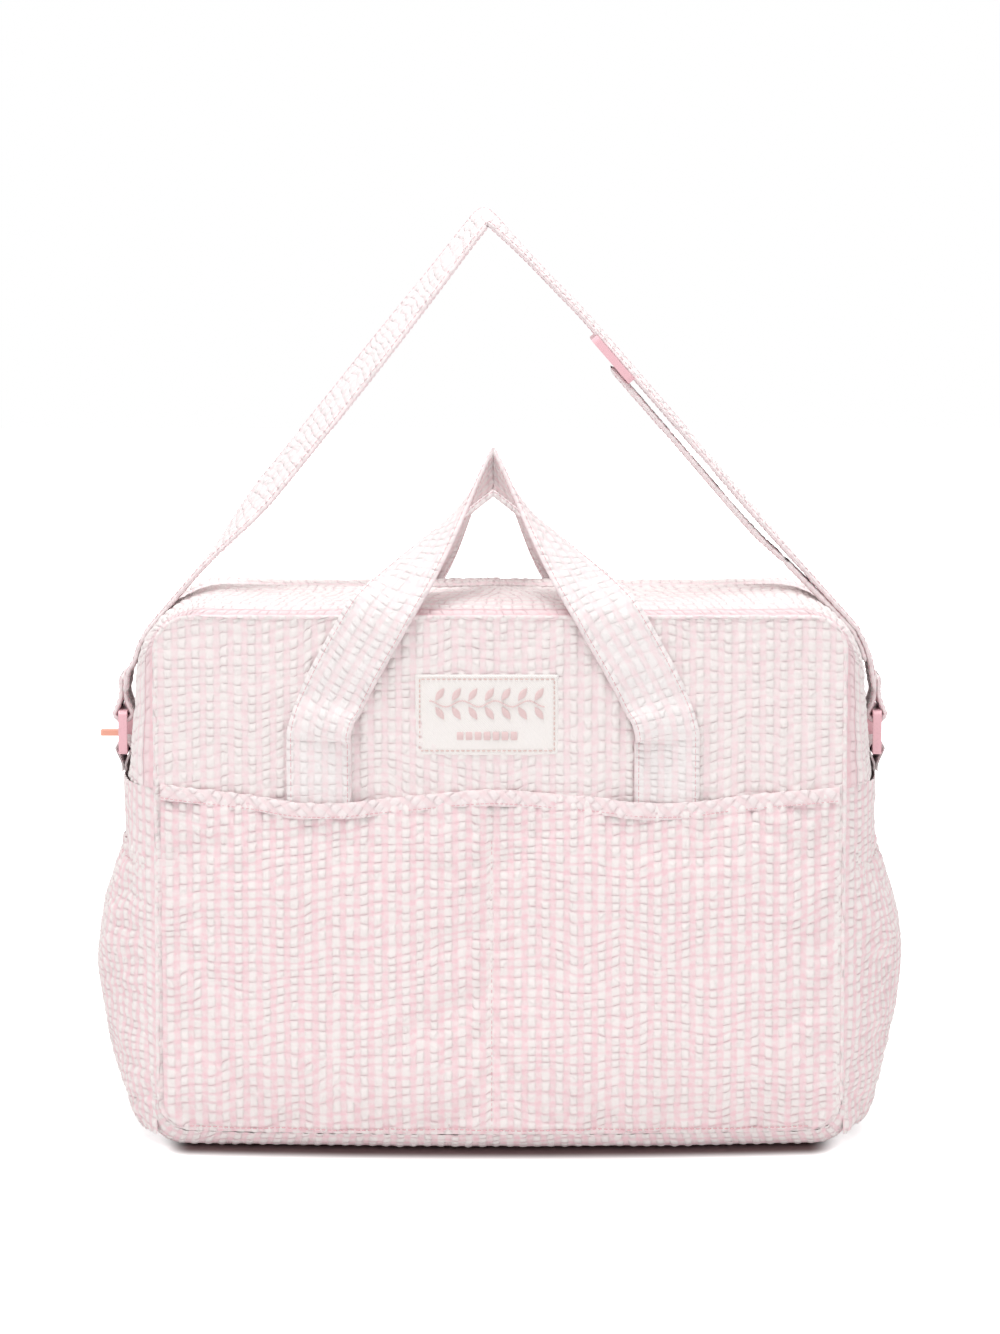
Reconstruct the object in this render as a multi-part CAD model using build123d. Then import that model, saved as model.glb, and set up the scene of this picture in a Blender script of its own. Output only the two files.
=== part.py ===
from build123d import *

import math
import os

# A soft zip-top diaper bag. Millimetres. X to the right, front face towards -Y, Z up.
# The origin is the centre of the base, on the surface that the bag stands on.

# Body
PANEL_HALF = 200.0       # half the width of the flat front and rear panels
HALF_DEPTH = 85.0        # outer faces of the front and rear panels
PANEL_TOP = 314.0        # top seam of the front and rear panels
CROWN = 4.0              # rise of the top gusset over that seam
FLAT_HALF = 45.0         # half the depth over which the gusset is flat
UPPER_HALF = 214.0       # half width at the upper (zip) gusset
LOWER_HALF = 224.0       # half width at the lower gusset
SEAM_Z = 214.0           # cross seam between the upper and the lower gusset
BASE_TURN = 22.0         # the base panel is turned up to this height at its ends
PANEL_CORNER = 20.0      # top corner radius of the panels
GUSSET_CORNER = 50.0     # top corner radius of the gusset at mid depth
BOTTOM_CORNER = 16.0

# Wall layers, as depths below the outer surface
FABRIC_IN = 2.5
FOAM_IN = 6.5
LINING_IN = 8.0

# Top flaps, split by the zip
FLAP_HALF = 163.0        # half the length of each flap
CORNER_START = 165.0     # the fixed corners begin here
FLAP_PIVOT_Y = 75.5
FLAP_PIVOT_Z = 309.5
FLAP_EDGE_Y = 74.5
ZIP_Y = 20.0             # the zip runs a little behind the middle
ZIP_SLOT = 8.0           # from the zip's centre line to each fabric edge
TOP_COIL_GAP = 0.4       # half the gap between the coils on the top
SIDE_COIL_GAP = 0.9      # half the gap at the sides, where the slider's neck passes
COIL = 2.0
COIL_PROUD = 0.6         # the side coils stand this far off the gusset
TAPE = 1.0
ZIP_END_Z = 221.0

# Straps
STRAP = 38.0             # width of every strap
STRAP_THICK = 2.4
HANDLE_THICK = 2.6
CENTRE_X = -5.0          # handles and centre seam sit left of the middle
HANDLE_REACH = 100.7     # from the centre line to a handle leg
HANDLE_PIVOT_Z = 245.0
HANDLE_GAP = 0.8         # clearance between a handle's loop and its panel
HANDLE_BREAK = 4.0       # the sewn end stops this far below the loop's pivot
HANDLE_APEX_Z = 394.0
HANDLE_APEX_Y = 17.6
HANDLE_LEAN = 35.0       # the loop leans over the bag's top by this angle

# Shoulder strap, its rings and adjuster
STRAP_Y = -10.0          # the strap runs a little in front of the middle, clear of the slider
STRAP_PIVOT_Z = 324.0
STRAP_BREAK = 3.5        # half the break in the stiff strap at its pivots, where the real one bends
APEX_X = -8.0
APEX_Z = 545.0
RING_X = 223.5
RING_LOW_Z = 228.0       # centre line of the ring's lower bar
RING_HIGH_Z = 250.0      # centre line of the ring's upper bar
RING_WIDE = 46.0
BAR_DEEP = 5.0
BAR_HIGH = 4.0
LOOP_INNER = 3.7
TAB_THICK = 1.6
TAB_WIDE = 35.0
END_TOP_Z = 272.0        # the strap's sewn end goes up to here
ADJUSTER_AT = 180.0      # from the strap's pivot to the adjuster, along the right leg
ADJUSTER_LONG = 34.0
ADJUSTER_WIDE = 46.0
ADJUSTER_THICK = 4.5
ADJUSTER_SLOT = 9.0
SLOT_OFF = 7.0           # from the adjuster's middle bar's centre to each slot's
LAYER_GAP = 0.4

# Pockets
POCKET_TOP = 207.0
POCKET_LOW = 12.0
POCKET_WALL = 2.5
POCKET_OUT = 14.5        # how far the front pocket stands off the panel
POCKET_SIDE = 3.0        # from the panel's side to the pocket's seam
POCKET_SLOPE = 14.0      # width over which the pocket rises from each seam
POCKET_SEAM = 4.0        # width that the centre seam holds down
BINDING_HIGH = 8.5
SIDE_POCKET_TOP = 178.0
SIDE_POCKET_OUT = 240.0
SIDE_POCKET_HALF = 81.0  # from its middle to its seams
SIDE_WALL = 2.2
HEM_HIGH = 10.0
ELASTIC = 0.9
INNER_HALF = 110.0       # half the width of the slip pocket on the lining
INNER_LOW = 60.0
INNER_TOP = 200.0
INNER_DEEP = 6.0
INNER_WALL = 1.5

# Zip slider and pull
SLIDER_Z = 232.0
SLIDER_LONG = 11.0
SLIDER_WIDE = 9.0
OUTER_PLATE = (1.2, 3.0)     # near and far face of the slider's outer plate, off the gusset
INNER_PLATE = (2.9, 4.5)     # the same for its inner plate, below the gusset's face
NECK_HALF = 0.5
BRIDGE_HALF = 1.4
BRIDGE_OUT = 2.6             # how far the bridge reaches beyond the pull's pin
EYE_HALF = 1.3
EYE_HIGH = 2.0
PULL_PIVOT_X = -220.3
PIN_RADIUS = 0.9
PIN_HALF = 2.4
ARM_OFF = 2.1                # from the middle of the link to the middle of each arm
ARM_HALF = 0.4
LINK_END = 7.4               # from the pin to the far side of the link
LINK_BAR = 1.4
PULL_LONG = 21.0
PULL_HALF = 4.0
PULL_THICK = 3.4
PULL_CORNER = 1.5

# Label
LABEL_X = -7.5
LABEL_LOW = 234.0
LABEL_HIGH = 281.0
LABEL_WIDE = 83.0
LABEL_THICK = 1.0


def block(x0, x1, y0, y1, z0, z1):
    """A box between two corners."""
    middle = ((x0 + x1) / 2, (y0 + y1) / 2, (z0 + z1) / 2)
    return Pos(*middle) * Box(x1 - x0, y1 - y0, z1 - z0)


def mirror_x(shape):
    return mirror(shape, about=Plane.YZ)


def mirror_y(shape):
    return mirror(shape, about=Plane.XZ)


def outline(y, half, top, low, top_radius, low_radius):
    """The bag's rounded rectangular outline in the vertical plane at y."""
    shape = Rectangle(2 * half, top - low)
    shape = fillet(shape.vertices().group_by(Axis.Y)[-1], top_radius)
    shape = fillet(shape.vertices().group_by(Axis.Y)[0], low_radius)
    plane = Plane(origin=(0, y, (top + low) / 2), x_dir=(1, 0, 0), z_dir=(0, -1, 0))
    return plane * shape


def envelope(half_middle, inset):
    """The solid inside the gusset, inset from its outer surface, over the whole depth."""
    stations = [
        (-HALF_DEPTH, PANEL_HALF, PANEL_TOP, PANEL_CORNER),
        (-FLAT_HALF, half_middle, PANEL_TOP + CROWN, GUSSET_CORNER),
        (FLAT_HALF, half_middle, PANEL_TOP + CROWN, GUSSET_CORNER),
        (HALF_DEPTH, PANEL_HALF, PANEL_TOP, PANEL_CORNER),
    ]
    sections = []
    for y, half, top, radius in stations:
        shape = outline(y, half - inset, top - inset, inset, radius - inset, BOTTOM_CORNER - inset)
        sections.append(shape)
    return loft(sections, ruled=True)


def gusset_layer(half_middle, outer, inner):
    """One layer of the gusset, between two depths, without the front and rear panels."""
    reach = HALF_DEPTH - FABRIC_IN
    span = block(-300, 300, -reach, reach, -10, 400)
    return (envelope(half_middle, outer) - envelope(half_middle, inner)) & span


def panel_layer(outer, inner):
    """One layer of the front panel, between two depths."""
    face = outline(-HALF_DEPTH + inner, PANEL_HALF - outer, PANEL_TOP - outer, outer,
                   PANEL_CORNER + 2 * outer, BOTTOM_CORNER - outer)
    return extrude(face, inner - outer)


def ribbon(points, directions, width, thickness):
    """A flat strap through points, its width along the direction given at each one."""
    sections = []
    for i, point in enumerate(points):
        here = Vector(*point)
        ahead = Vector(*points[min(i + 1, len(points) - 1)])
        behind = Vector(*points[max(i - 1, 0)])
        along = (ahead - behind).normalized()
        across = Vector(*directions[i])
        across = (across - along * across.dot(along)).normalized()
        out = along.cross(across)
        corners = []
        for side, lift in ((-1, -1), (1, -1), (1, 1), (-1, 1)):
            corners.append(here + across * (side * width / 2) + out * (lift * thickness / 2))
        sections.append(Wire.make_polygon(corners, close=True))
    return Solid.make_loft(sections, ruled=True)


# Outer fabric, foam and lining ------------------------------------------------

def body_walls():
    parts = {}
    reach = HALF_DEPTH - FABRIC_IN
    layers = {"panel": (0, FABRIC_IN), "foam": (FABRIC_IN, FOAM_IN), "lining": (FOAM_IN, LINING_IN)}
    for layer, (outer, inner) in layers.items():
        front = panel_layer(outer, inner)
        parts[f"front_{layer}"] = front
        parts[f"rear_{layer}"] = mirror_y(front)
        depth = reach if layer == "panel" else HALF_DEPTH - LINING_IN
        lower = gusset_layer(LOWER_HALF, outer, inner)
        right = lower & block(0, 300, -depth, depth, BASE_TURN, SEAM_Z)
        parts[f"right_side_{layer}"] = right
        parts[f"left_side_{layer}"] = mirror_x(right)
        if layer != "foam":
            parts[f"base_{layer}"] = lower & block(-300, 300, -depth, depth, -1, BASE_TURN)
    inner = HALF_DEPTH - LINING_IN
    parts["base_board"] = block(-190, 190, -inner + 1, inner - 1, FABRIC_IN, FOAM_IN)
    return parts


def upper_gusset():
    """The fixed upper gusset: sides, corners and the narrow rims in front of and behind the flaps."""
    parts = {}
    depth = HALF_DEPTH - LINING_IN
    fabric = gusset_layer(UPPER_HALF, 0, FABRIC_IN)
    padding = gusset_layer(UPPER_HALF, FABRIC_IN, FOAM_IN) & block(-300, 300, -depth, depth, 0, 400)
    shell = fabric + padding
    side = shell & block(CORNER_START, 300, -HALF_DEPTH, HALF_DEPTH, SEAM_Z, 400)
    front_half = block(0, 300, -HALF_DEPTH, ZIP_Y - ZIP_SLOT, 0, 400)
    rear_half = block(0, 300, ZIP_Y + ZIP_SLOT, HALF_DEPTH, 0, 400)
    for name, half in (("front", front_half), ("rear", rear_half)):
        parts[f"right_gusset_{name}"] = side & half
        parts[f"left_gusset_{name}"] = mirror_x(side & half)
    rim = fabric & block(-CORNER_START, CORNER_START, -HALF_DEPTH, -FLAP_PIVOT_Y - 0.6, 290, 400)
    parts["front_top_rim"] = rim
    parts["rear_top_rim"] = mirror_y(rim)
    return parts


def top_flaps():
    """The two padded strips on either side of the zip, which hinge into the bag."""
    parts = {}
    strips = {"front": (-FLAP_EDGE_Y, ZIP_Y - ZIP_SLOT), "rear": (ZIP_Y + ZIP_SLOT, FLAP_EDGE_Y)}
    for name, (low, high) in strips.items():
        span = block(-FLAP_HALF, FLAP_HALF, low, high, 290, 400)
        parts[f"{name}_flap"] = gusset_layer(UPPER_HALF, 0, FABRIC_IN) & span
        parts[f"{name}_flap_lining"] = gusset_layer(UPPER_HALF, FABRIC_IN, FOAM_IN) & span
    return parts


# Zip --------------------------------------------------------------------------

def top_zip():
    parts = {}
    coil_top = PANEL_TOP + CROWN - FABRIC_IN + 0.5
    tape_top = coil_top - COIL
    for name, side in (("front", -1), ("rear", 1)):
        near = ZIP_Y + side * TOP_COIL_GAP
        coil_far = near + side * COIL
        fabric_edge = ZIP_Y + side * ZIP_SLOT
        coil = block(-FLAP_HALF, FLAP_HALF, min(near, coil_far), max(near, coil_far), tape_top, coil_top)
        tape = block(-FLAP_HALF, FLAP_HALF, min(near, fabric_edge), max(near, fabric_edge),
                     tape_top - TAPE, tape_top)
        parts[f"{name}_zip_half"] = coil + tape
    return parts


def side_zip():
    """Two tapes with coils down each side: one node a side."""
    parts = {}
    outer = UPPER_HALF
    halves = []
    arc_start = PANEL_TOP + CROWN - GUSSET_CORNER
    coil_low = outer + COIL_PROUD - COIL
    tape_low = coil_low - TAPE
    for side in (-1, 1):
        near = ZIP_Y + side * SIDE_COIL_GAP
        coil_y = sorted((near, near + side * COIL))
        tape_y = sorted((near, ZIP_Y + side * ZIP_SLOT))
        coil = block(coil_low, outer + COIL_PROUD, *coil_y, ZIP_END_Z, arc_start)
        tape = block(tape_low, coil_low, *tape_y, ZIP_END_Z, arc_start)
        halves.append(coil + tape)
    parts["right_side_zip"] = Compound(children=halves)
    parts["left_side_zip"] = mirror_x(parts["right_side_zip"])
    tab = block(tape_low, outer - 0.4, ZIP_Y - ZIP_SLOT, ZIP_Y + ZIP_SLOT, SEAM_Z, ZIP_END_Z)
    parts["zip_end_tabs"] = Compound(children=[tab, mirror_x(tab)])
    corner = gusset_layer(UPPER_HALF, FABRIC_IN - 1.1, FABRIC_IN - 0.1)
    bridge = corner & block(CORNER_START, 300, ZIP_Y - ZIP_SLOT, ZIP_Y + ZIP_SLOT, arc_start, 400)
    parts["zip_corner_tapes"] = Compound(children=[bridge, mirror_x(bridge)])
    return parts


def on_zip(x0, x1, half_wide, half_high):
    """A box centred on the zip's line and on the pull's pin height."""
    return block(x0, x1, ZIP_Y - half_wide, ZIP_Y + half_wide, SLIDER_Z - half_high, SLIDER_Z + half_high)


def slider_parts():
    """The slider's two plates and neck, its bridge, and the pull with its tab."""
    face = -UPPER_HALF
    half_long = SLIDER_LONG / 2
    near, far = OUTER_PLATE
    outer_plate = on_zip(face - far, face - near, SLIDER_WIDE / 2, half_long)
    inner_plate = on_zip(face + INNER_PLATE[0], face + INNER_PLATE[1], SLIDER_WIDE / 2, half_long)
    neck = block(face - near, face + INNER_PLATE[0], ZIP_Y - NECK_HALF, ZIP_Y + NECK_HALF,
                 SLIDER_Z, SLIDER_Z + half_long - 1)
    bridge = on_zip(PULL_PIVOT_X - BRIDGE_OUT, face - far, BRIDGE_HALF, half_long - 1)
    eye = on_zip(PULL_PIVOT_X - EYE_HALF, PULL_PIVOT_X + EYE_HALF, SLIDER_WIDE / 2, EYE_HIGH)
    slider = outer_plate + inner_plate + neck + (bridge - eye)

    link = Pos(PULL_PIVOT_X, ZIP_Y, SLIDER_Z) * Rot(90, 0, 0) * Cylinder(PIN_RADIUS, 2 * PIN_HALF)
    bar_near = PULL_PIVOT_X - LINK_END + LINK_BAR
    for side in (-1, 1):
        middle = ZIP_Y + side * ARM_OFF
        link = link + block(bar_near, PULL_PIVOT_X + PIN_RADIUS, middle - ARM_HALF, middle + ARM_HALF,
                            SLIDER_Z - PIN_RADIUS, SLIDER_Z + PIN_RADIUS)
    link = link + on_zip(PULL_PIVOT_X - LINK_END, bar_near, ARM_OFF + ARM_HALF, PIN_RADIUS)
    tab = on_zip(PULL_PIVOT_X - PULL_LONG, PULL_PIVOT_X - LINK_END, PULL_HALF, PULL_THICK / 2)
    tab = fillet(tab.edges().filter_by(Axis.Z), PULL_CORNER)
    return {"zip_slider": slider, "zip_pull_link": link, "zip_pull_tab": tab}


# Handles ----------------------------------------------------------------------

def handle_loop():
    """The front handle's free loop: flat on the panel at its legs, turned on edge at its apex."""
    leg_y = -HALF_DEPTH - HANDLE_GAP - HANDLE_THICK / 2
    apex = (CENTRE_X, -HANDLE_APEX_Y, HANDLE_APEX_Z)
    # reach from the centre line, y, z and how far the strap is turned, along one leg
    leg = [
        (HANDLE_REACH, leg_y, HANDLE_PIVOT_Z + 1.5, 0),
        (HANDLE_REACH - 0.6, leg_y, 253.0, 0),
        (96.5, leg_y, 262.0, 0),
        (83.0, leg_y, 284.0, 0),
        (64.5, leg_y, 313.0, 0),
        (56.5, leg_y, 325.0, 5),
        (38.5, -66.0, 350.0, 44),
        (20.0, -40.0, 373.0, 68),
        (6.0, -21.0, 389.5, 84),
    ]
    lean = math.radians(HANDLE_LEAN)
    upright = Vector(0, -math.cos(lean), math.sin(lean))
    points = []
    directions = []
    for side, rows in ((-1, leg), (1, leg[::-1])):
        for reach, y, z, turn in rows:
            angle = math.radians(turn)
            flat = Vector(side, 0, 0)
            across = flat * math.cos(angle) + upright * math.sin(angle)
            points.append((CENTRE_X + side * reach, y, z))
            directions.append(tuple(across))
        if side < 0:
            points.append(apex)
            directions.append(tuple(upright))
    return ribbon(points, directions, STRAP, HANDLE_THICK)


def handle_ends():
    """The lower ends of the front handle, sewn flat to the panel."""
    ends = []
    for side in (-1, 1):
        x = CENTRE_X + side * HANDLE_REACH
        ends.append(block(x - STRAP / 2, x + STRAP / 2, -HALF_DEPTH - HANDLE_THICK, -HALF_DEPTH,
                          POCKET_TOP - 18, HANDLE_PIVOT_Z - HANDLE_BREAK))
    return Compound(children=ends)


# Shoulder strap ---------------------------------------------------------------

def corner_path(side, lift):
    """The strap's path from its sewn end over the bag's top corner, lift above the gusset."""
    centre_x = UPPER_HALF - GUSSET_CORNER
    centre_z = PANEL_TOP + CROWN - GUSSET_CORNER
    radius = GUSSET_CORNER + lift
    points = [(side * (RING_X - 4 + lift / 2), STRAP_Y, END_TOP_Z + 1.5)]
    for degrees in (14, 24, 32, 39):
        angle = math.radians(degrees)
        points.append((side * (centre_x + radius * math.cos(angle)), STRAP_Y,
                       centre_z + radius * math.sin(angle)))
    return points


def pivot_point(side):
    """Where the free loop of the strap starts, on the line from the corner to the apex."""
    x, _, z = corner_path(side, STRAP_THICK / 2 + 1)[-1]
    share = (STRAP_PIVOT_Z - z) / (APEX_Z - z)
    return (x + share * (APEX_X - x), STRAP_Y, STRAP_PIVOT_Z)


def along_leg(side, distance, lift=0.0):
    """A point on a free leg of the strap, at a distance above its pivot and lifted off it outwards."""
    foot = Vector(*pivot_point(side))
    along = (Vector(APEX_X, STRAP_Y, APEX_Z) - foot).normalized()
    out = Vector(side * along.Z, 0, -side * along.X)
    point = foot + along * distance + out * lift
    return tuple(point)


def strap_risers():
    """The fixed stretches of the strap that lie over the bag's top corners."""
    parts = {}
    lift = STRAP_THICK / 2 + 1
    for name, side in (("left", -1), ("right", 1)):
        foot = along_leg(side, -STRAP_BREAK)
        points = corner_path(side, lift) + [foot]
        solids = [ribbon(points, [(0, 1, 0)] * len(points), STRAP, STRAP_THICK)]
        if side > 0:
            second = corner_path(side, lift + STRAP_THICK + LAYER_GAP)
            second.append(along_leg(side, -STRAP_BREAK, STRAP_THICK + LAYER_GAP))
            solids.append(ribbon(second, [(0, 1, 0)] * len(second), STRAP, STRAP_THICK))
        parts[f"{name}_strap_riser"] = Compound(children=solids)
    return parts


def shoulder_strap():
    """The free loop, and the second layer that runs from the right corner back up to the adjuster."""
    layer = ADJUSTER_THICK / 2 + STRAP_THICK / 2 + LAYER_GAP
    full = (Vector(APEX_X, STRAP_Y, APEX_Z) - Vector(*pivot_point(1))).length
    top = full - 14
    left_full = (Vector(APEX_X, STRAP_Y, APEX_Z) - Vector(*pivot_point(-1))).length
    points = [along_leg(-1, STRAP_BREAK), along_leg(-1, left_full - 14)]
    points += [along_leg(-1, left_full - 7, -1.5), (APEX_X, STRAP_Y, APEX_Z - 3.0)]
    points += [along_leg(1, full - 7, -0.5), along_leg(1, top, 1.0)]
    points += [along_leg(1, ADJUSTER_AT + 30, layer), along_leg(1, ADJUSTER_AT - 110, layer)]
    points += [along_leg(1, STRAP_BREAK, STRAP_THICK + LAYER_GAP)]
    main = ribbon(points, [(0, 1, 0)] * len(points), STRAP, STRAP_THICK)
    inner = [along_leg(1, STRAP_BREAK), along_leg(1, ADJUSTER_AT - 110, -layer)]
    inner += [along_leg(1, ADJUSTER_AT - 4, -layer)]
    back = ribbon(inner, [(0, 1, 0)] * len(inner), STRAP, STRAP_THICK)
    return {"shoulder_strap": main, "strap_return": back}


def strap_adjuster():
    """A flat frame with three bars, between the two layers of the strap."""
    foot = Vector(*along_leg(1, ADJUSTER_AT))
    along = (Vector(APEX_X, STRAP_Y, APEX_Z) - foot).normalized()
    plane = Plane(origin=tuple(foot), x_dir=(0, 1, 0), z_dir=tuple(Vector(along.Z, 0, -along.X)))
    frame = RectangleRounded(ADJUSTER_WIDE, ADJUSTER_LONG, 4)
    slot = Rectangle(STRAP + 1, ADJUSTER_SLOT)
    frame = frame - Pos(0, SLOT_OFF) * slot - Pos(0, -SLOT_OFF) * slot
    return extrude(plane * frame, ADJUSTER_THICK / 2, both=True)


def side_ring():
    """The left ring: a flat rectangular frame that stands on its lower bar."""
    height = RING_HIGH_Z - RING_LOW_Z + BAR_HIGH
    face = RectangleRounded(RING_WIDE, height, 3.0)
    face = face - Rectangle(RING_WIDE - 2 * BAR_HIGH, height - 2 * BAR_HIGH)
    middle = (-RING_X, STRAP_Y, (RING_LOW_Z + RING_HIGH_Z) / 2)
    plane = Plane(origin=middle, x_dir=(0, 1, 0), z_dir=(1, 0, 0))
    return extrude(plane * face, BAR_DEEP / 2, both=True)


def loop_about(z, tail_z, thickness, width):
    """A folded loop about a bar at height z, with its doubled tail running to tail_z."""
    inner = LOOP_INNER
    outer = inner + thickness
    direction = 1 if tail_z > z else -1
    ring = Circle(outer) - Circle(inner)
    tail_low = inner + thickness / 2
    tail_length = abs(tail_z - z) - tail_low
    tail = Pos(0, direction * (tail_low + tail_length / 2)) * Rectangle(2 * thickness, tail_length)
    plane = Plane(origin=(-RING_X, STRAP_Y, z), x_dir=(1, 0, 0), z_dir=(0, -1, 0))
    return extrude(plane * (ring + tail), width / 2, both=True)


def ring_parts():
    parts = {}
    ring = side_ring()
    tab = loop_about(RING_LOW_Z, SEAM_Z, TAB_THICK, TAB_WIDE)
    strap_end = loop_about(RING_HIGH_Z, END_TOP_Z, STRAP_THICK, TAB_WIDE + 1)
    for name, shape in (("ring", ring), ("ring_tab", tab), ("strap_end", strap_end)):
        parts[f"left_{name}"] = shape
        parts[f"right_{name}"] = mirror_x(shape)
    return parts


# Pockets and label ------------------------------------------------------------

def strip_between(outer, inner):
    """A flat face between two open outlines in plan with the same ends order."""
    return make_face(Polyline(*outer, *inner[::-1], close=True))


def pocket_outline(y, foot, corner, seam_y):
    """The front pocket in plan: its outer or inner outline, from its left seam to its right one."""
    side = PANEL_HALF - POCKET_SIDE
    reach = POCKET_SLOPE + POCKET_SEAM + corner
    hold = POCKET_SEAM / 2 + foot
    left = [(-side + foot, -HALF_DEPTH), (-side + POCKET_SLOPE + corner, y), (CENTRE_X - reach, y)]
    right = [(CENTRE_X + reach, y), (side - POCKET_SLOPE - corner, y), (side - foot, -HALF_DEPTH)]
    return left + [(CENTRE_X - hold, seam_y), (CENTRE_X + hold, seam_y)] + right


def front_pocket():
    """A shallow pocket sewn to the panel at its sides, base and centre line, open at the top."""
    wall = POCKET_WALL
    out = -HALF_DEPTH - POCKET_OUT
    outer = pocket_outline(out, 0, 0, -HALF_DEPTH - wall)
    inner = pocket_outline(out + wall, 3.2, 1.4, -HALF_DEPTH)
    wall_face = strip_between(outer, inner)
    floor_face = make_face(Polyline(*outer, close=True))
    binding_low = POCKET_TOP - BINDING_HIGH
    body = Pos(0, 0, POCKET_LOW) * extrude(wall_face, binding_low - POCKET_LOW, dir=(0, 0, 1))
    floor = Pos(0, 0, POCKET_LOW) * extrude(floor_face, wall, dir=(0, 0, 1))
    binding = Pos(0, 0, binding_low) * extrude(wall_face, BINDING_HIGH, dir=(0, 0, 1))
    return {"front_pocket": body + floor, "front_pocket_binding": binding}


def side_outline(seam, shoulder, face):
    """A side pocket in plan, through half widths and distances out at its seams, shoulders and face."""
    half = [seam, shoulder, face]
    return [(x, -y) for y, x in half] + [(x, y) for y, x in half[::-1]]


def raised(face, low, height):
    """A flat face in plan as a solid from the height low."""
    return Pos(0, 0, low) * extrude(face, height, dir=(0, 0, 1))


def side_pockets():
    """A bulging pocket on each side panel, with an elastic band inside its hem."""
    parts = {}
    out = SIDE_POCKET_OUT
    shoulder = out - 9
    seam_x = PANEL_HALF + 1.5
    outer = side_outline((SIDE_POCKET_HALF, seam_x), (62, shoulder), (30, out))
    inner = side_outline((SIDE_POCKET_HALF - 3.5, seam_x), (60.5, shoulder - SIDE_WALL),
                         (29.5, out - SIDE_WALL))
    band = inner[1:-1]
    band_in = [(x - ELASTIC, y) for x, y in band]
    shell = raised(strip_between(outer, inner), POCKET_LOW, SIDE_POCKET_TOP - POCKET_LOW)
    floor = raised(make_face(Polyline(*outer, close=True)), POCKET_LOW, SIDE_WALL)
    pocket = (shell + floor) - envelope(LOWER_HALF, 0)
    elastic = raised(strip_between(band, band_in), SIDE_POCKET_TOP - HEM_HIGH, HEM_HIGH - 2)
    parts["right_side_pocket"] = pocket
    parts["left_side_pocket"] = mirror_x(pocket)
    parts["right_pocket_elastic"] = elastic
    parts["left_pocket_elastic"] = mirror_x(elastic)
    return parts


def inner_pocket():
    """A flat slip pocket on the rear lining."""
    face = HALF_DEPTH - LINING_IN
    back = face - INNER_DEEP
    floor_top = INNER_LOW + INNER_WALL
    pocket = block(-INNER_HALF, INNER_HALF, back - INNER_WALL, back, INNER_LOW, INNER_TOP)
    pocket = pocket + block(-INNER_HALF, INNER_HALF, back, face, INNER_LOW, floor_top)
    pocket = pocket + block(-INNER_HALF, INNER_WALL - INNER_HALF, back, face, floor_top, INNER_TOP)
    return pocket + block(INNER_HALF - INNER_WALL, INNER_HALF, back, face, floor_top, INNER_TOP)


def label_patch():
    half = LABEL_WIDE / 2
    face = -HALF_DEPTH
    return block(LABEL_X - half, LABEL_X + half, face - LABEL_THICK, face, LABEL_LOW, LABEL_HIGH)


def build():
    parts = {}
    parts.update(body_walls())
    parts.update(upper_gusset())
    parts.update(top_flaps())
    parts.update(top_zip())
    parts.update(side_zip())
    parts.update(slider_parts())
    parts["front_handle"] = handle_loop()
    parts["rear_handle"] = mirror_y(parts["front_handle"])
    parts["front_handle_ends"] = handle_ends()
    parts["rear_handle_ends"] = mirror_y(parts["front_handle_ends"])
    parts.update(strap_risers())
    parts.update(shoulder_strap())
    parts["strap_adjuster"] = strap_adjuster()
    parts.update(ring_parts())
    parts.update(front_pocket())
    parts.update(side_pockets())
    parts["inner_pocket"] = inner_pocket()
    parts["label_patch"] = label_patch()
    return parts


os.makedirs("parts", exist_ok=True)
for node, shape in build().items():
    export_step(shape, f"parts/{node}.step")
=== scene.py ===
import math

import bpy
import numpy as np
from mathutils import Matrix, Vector


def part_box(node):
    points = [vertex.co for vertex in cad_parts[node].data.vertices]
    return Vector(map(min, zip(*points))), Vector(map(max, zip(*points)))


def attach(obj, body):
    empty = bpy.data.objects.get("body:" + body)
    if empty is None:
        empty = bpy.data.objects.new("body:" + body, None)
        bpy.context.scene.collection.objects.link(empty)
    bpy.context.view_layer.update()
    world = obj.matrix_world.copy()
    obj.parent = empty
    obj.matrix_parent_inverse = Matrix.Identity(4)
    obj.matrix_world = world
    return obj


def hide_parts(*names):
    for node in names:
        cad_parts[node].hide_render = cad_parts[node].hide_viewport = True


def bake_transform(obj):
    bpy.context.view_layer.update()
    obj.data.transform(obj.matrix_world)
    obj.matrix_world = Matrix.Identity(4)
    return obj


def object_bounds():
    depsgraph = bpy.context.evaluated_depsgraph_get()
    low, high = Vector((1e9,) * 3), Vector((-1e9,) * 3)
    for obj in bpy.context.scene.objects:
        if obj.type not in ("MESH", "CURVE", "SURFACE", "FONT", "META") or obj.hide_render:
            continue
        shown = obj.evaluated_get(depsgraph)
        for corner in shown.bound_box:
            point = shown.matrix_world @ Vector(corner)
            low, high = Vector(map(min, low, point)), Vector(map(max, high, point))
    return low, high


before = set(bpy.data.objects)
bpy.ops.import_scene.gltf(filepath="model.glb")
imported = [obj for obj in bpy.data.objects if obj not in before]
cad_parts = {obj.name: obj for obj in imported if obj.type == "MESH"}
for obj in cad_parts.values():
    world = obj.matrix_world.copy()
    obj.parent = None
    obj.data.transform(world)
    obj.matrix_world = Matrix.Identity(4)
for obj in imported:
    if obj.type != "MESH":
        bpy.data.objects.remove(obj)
CAD_LOW, CAD_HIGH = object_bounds()

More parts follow.
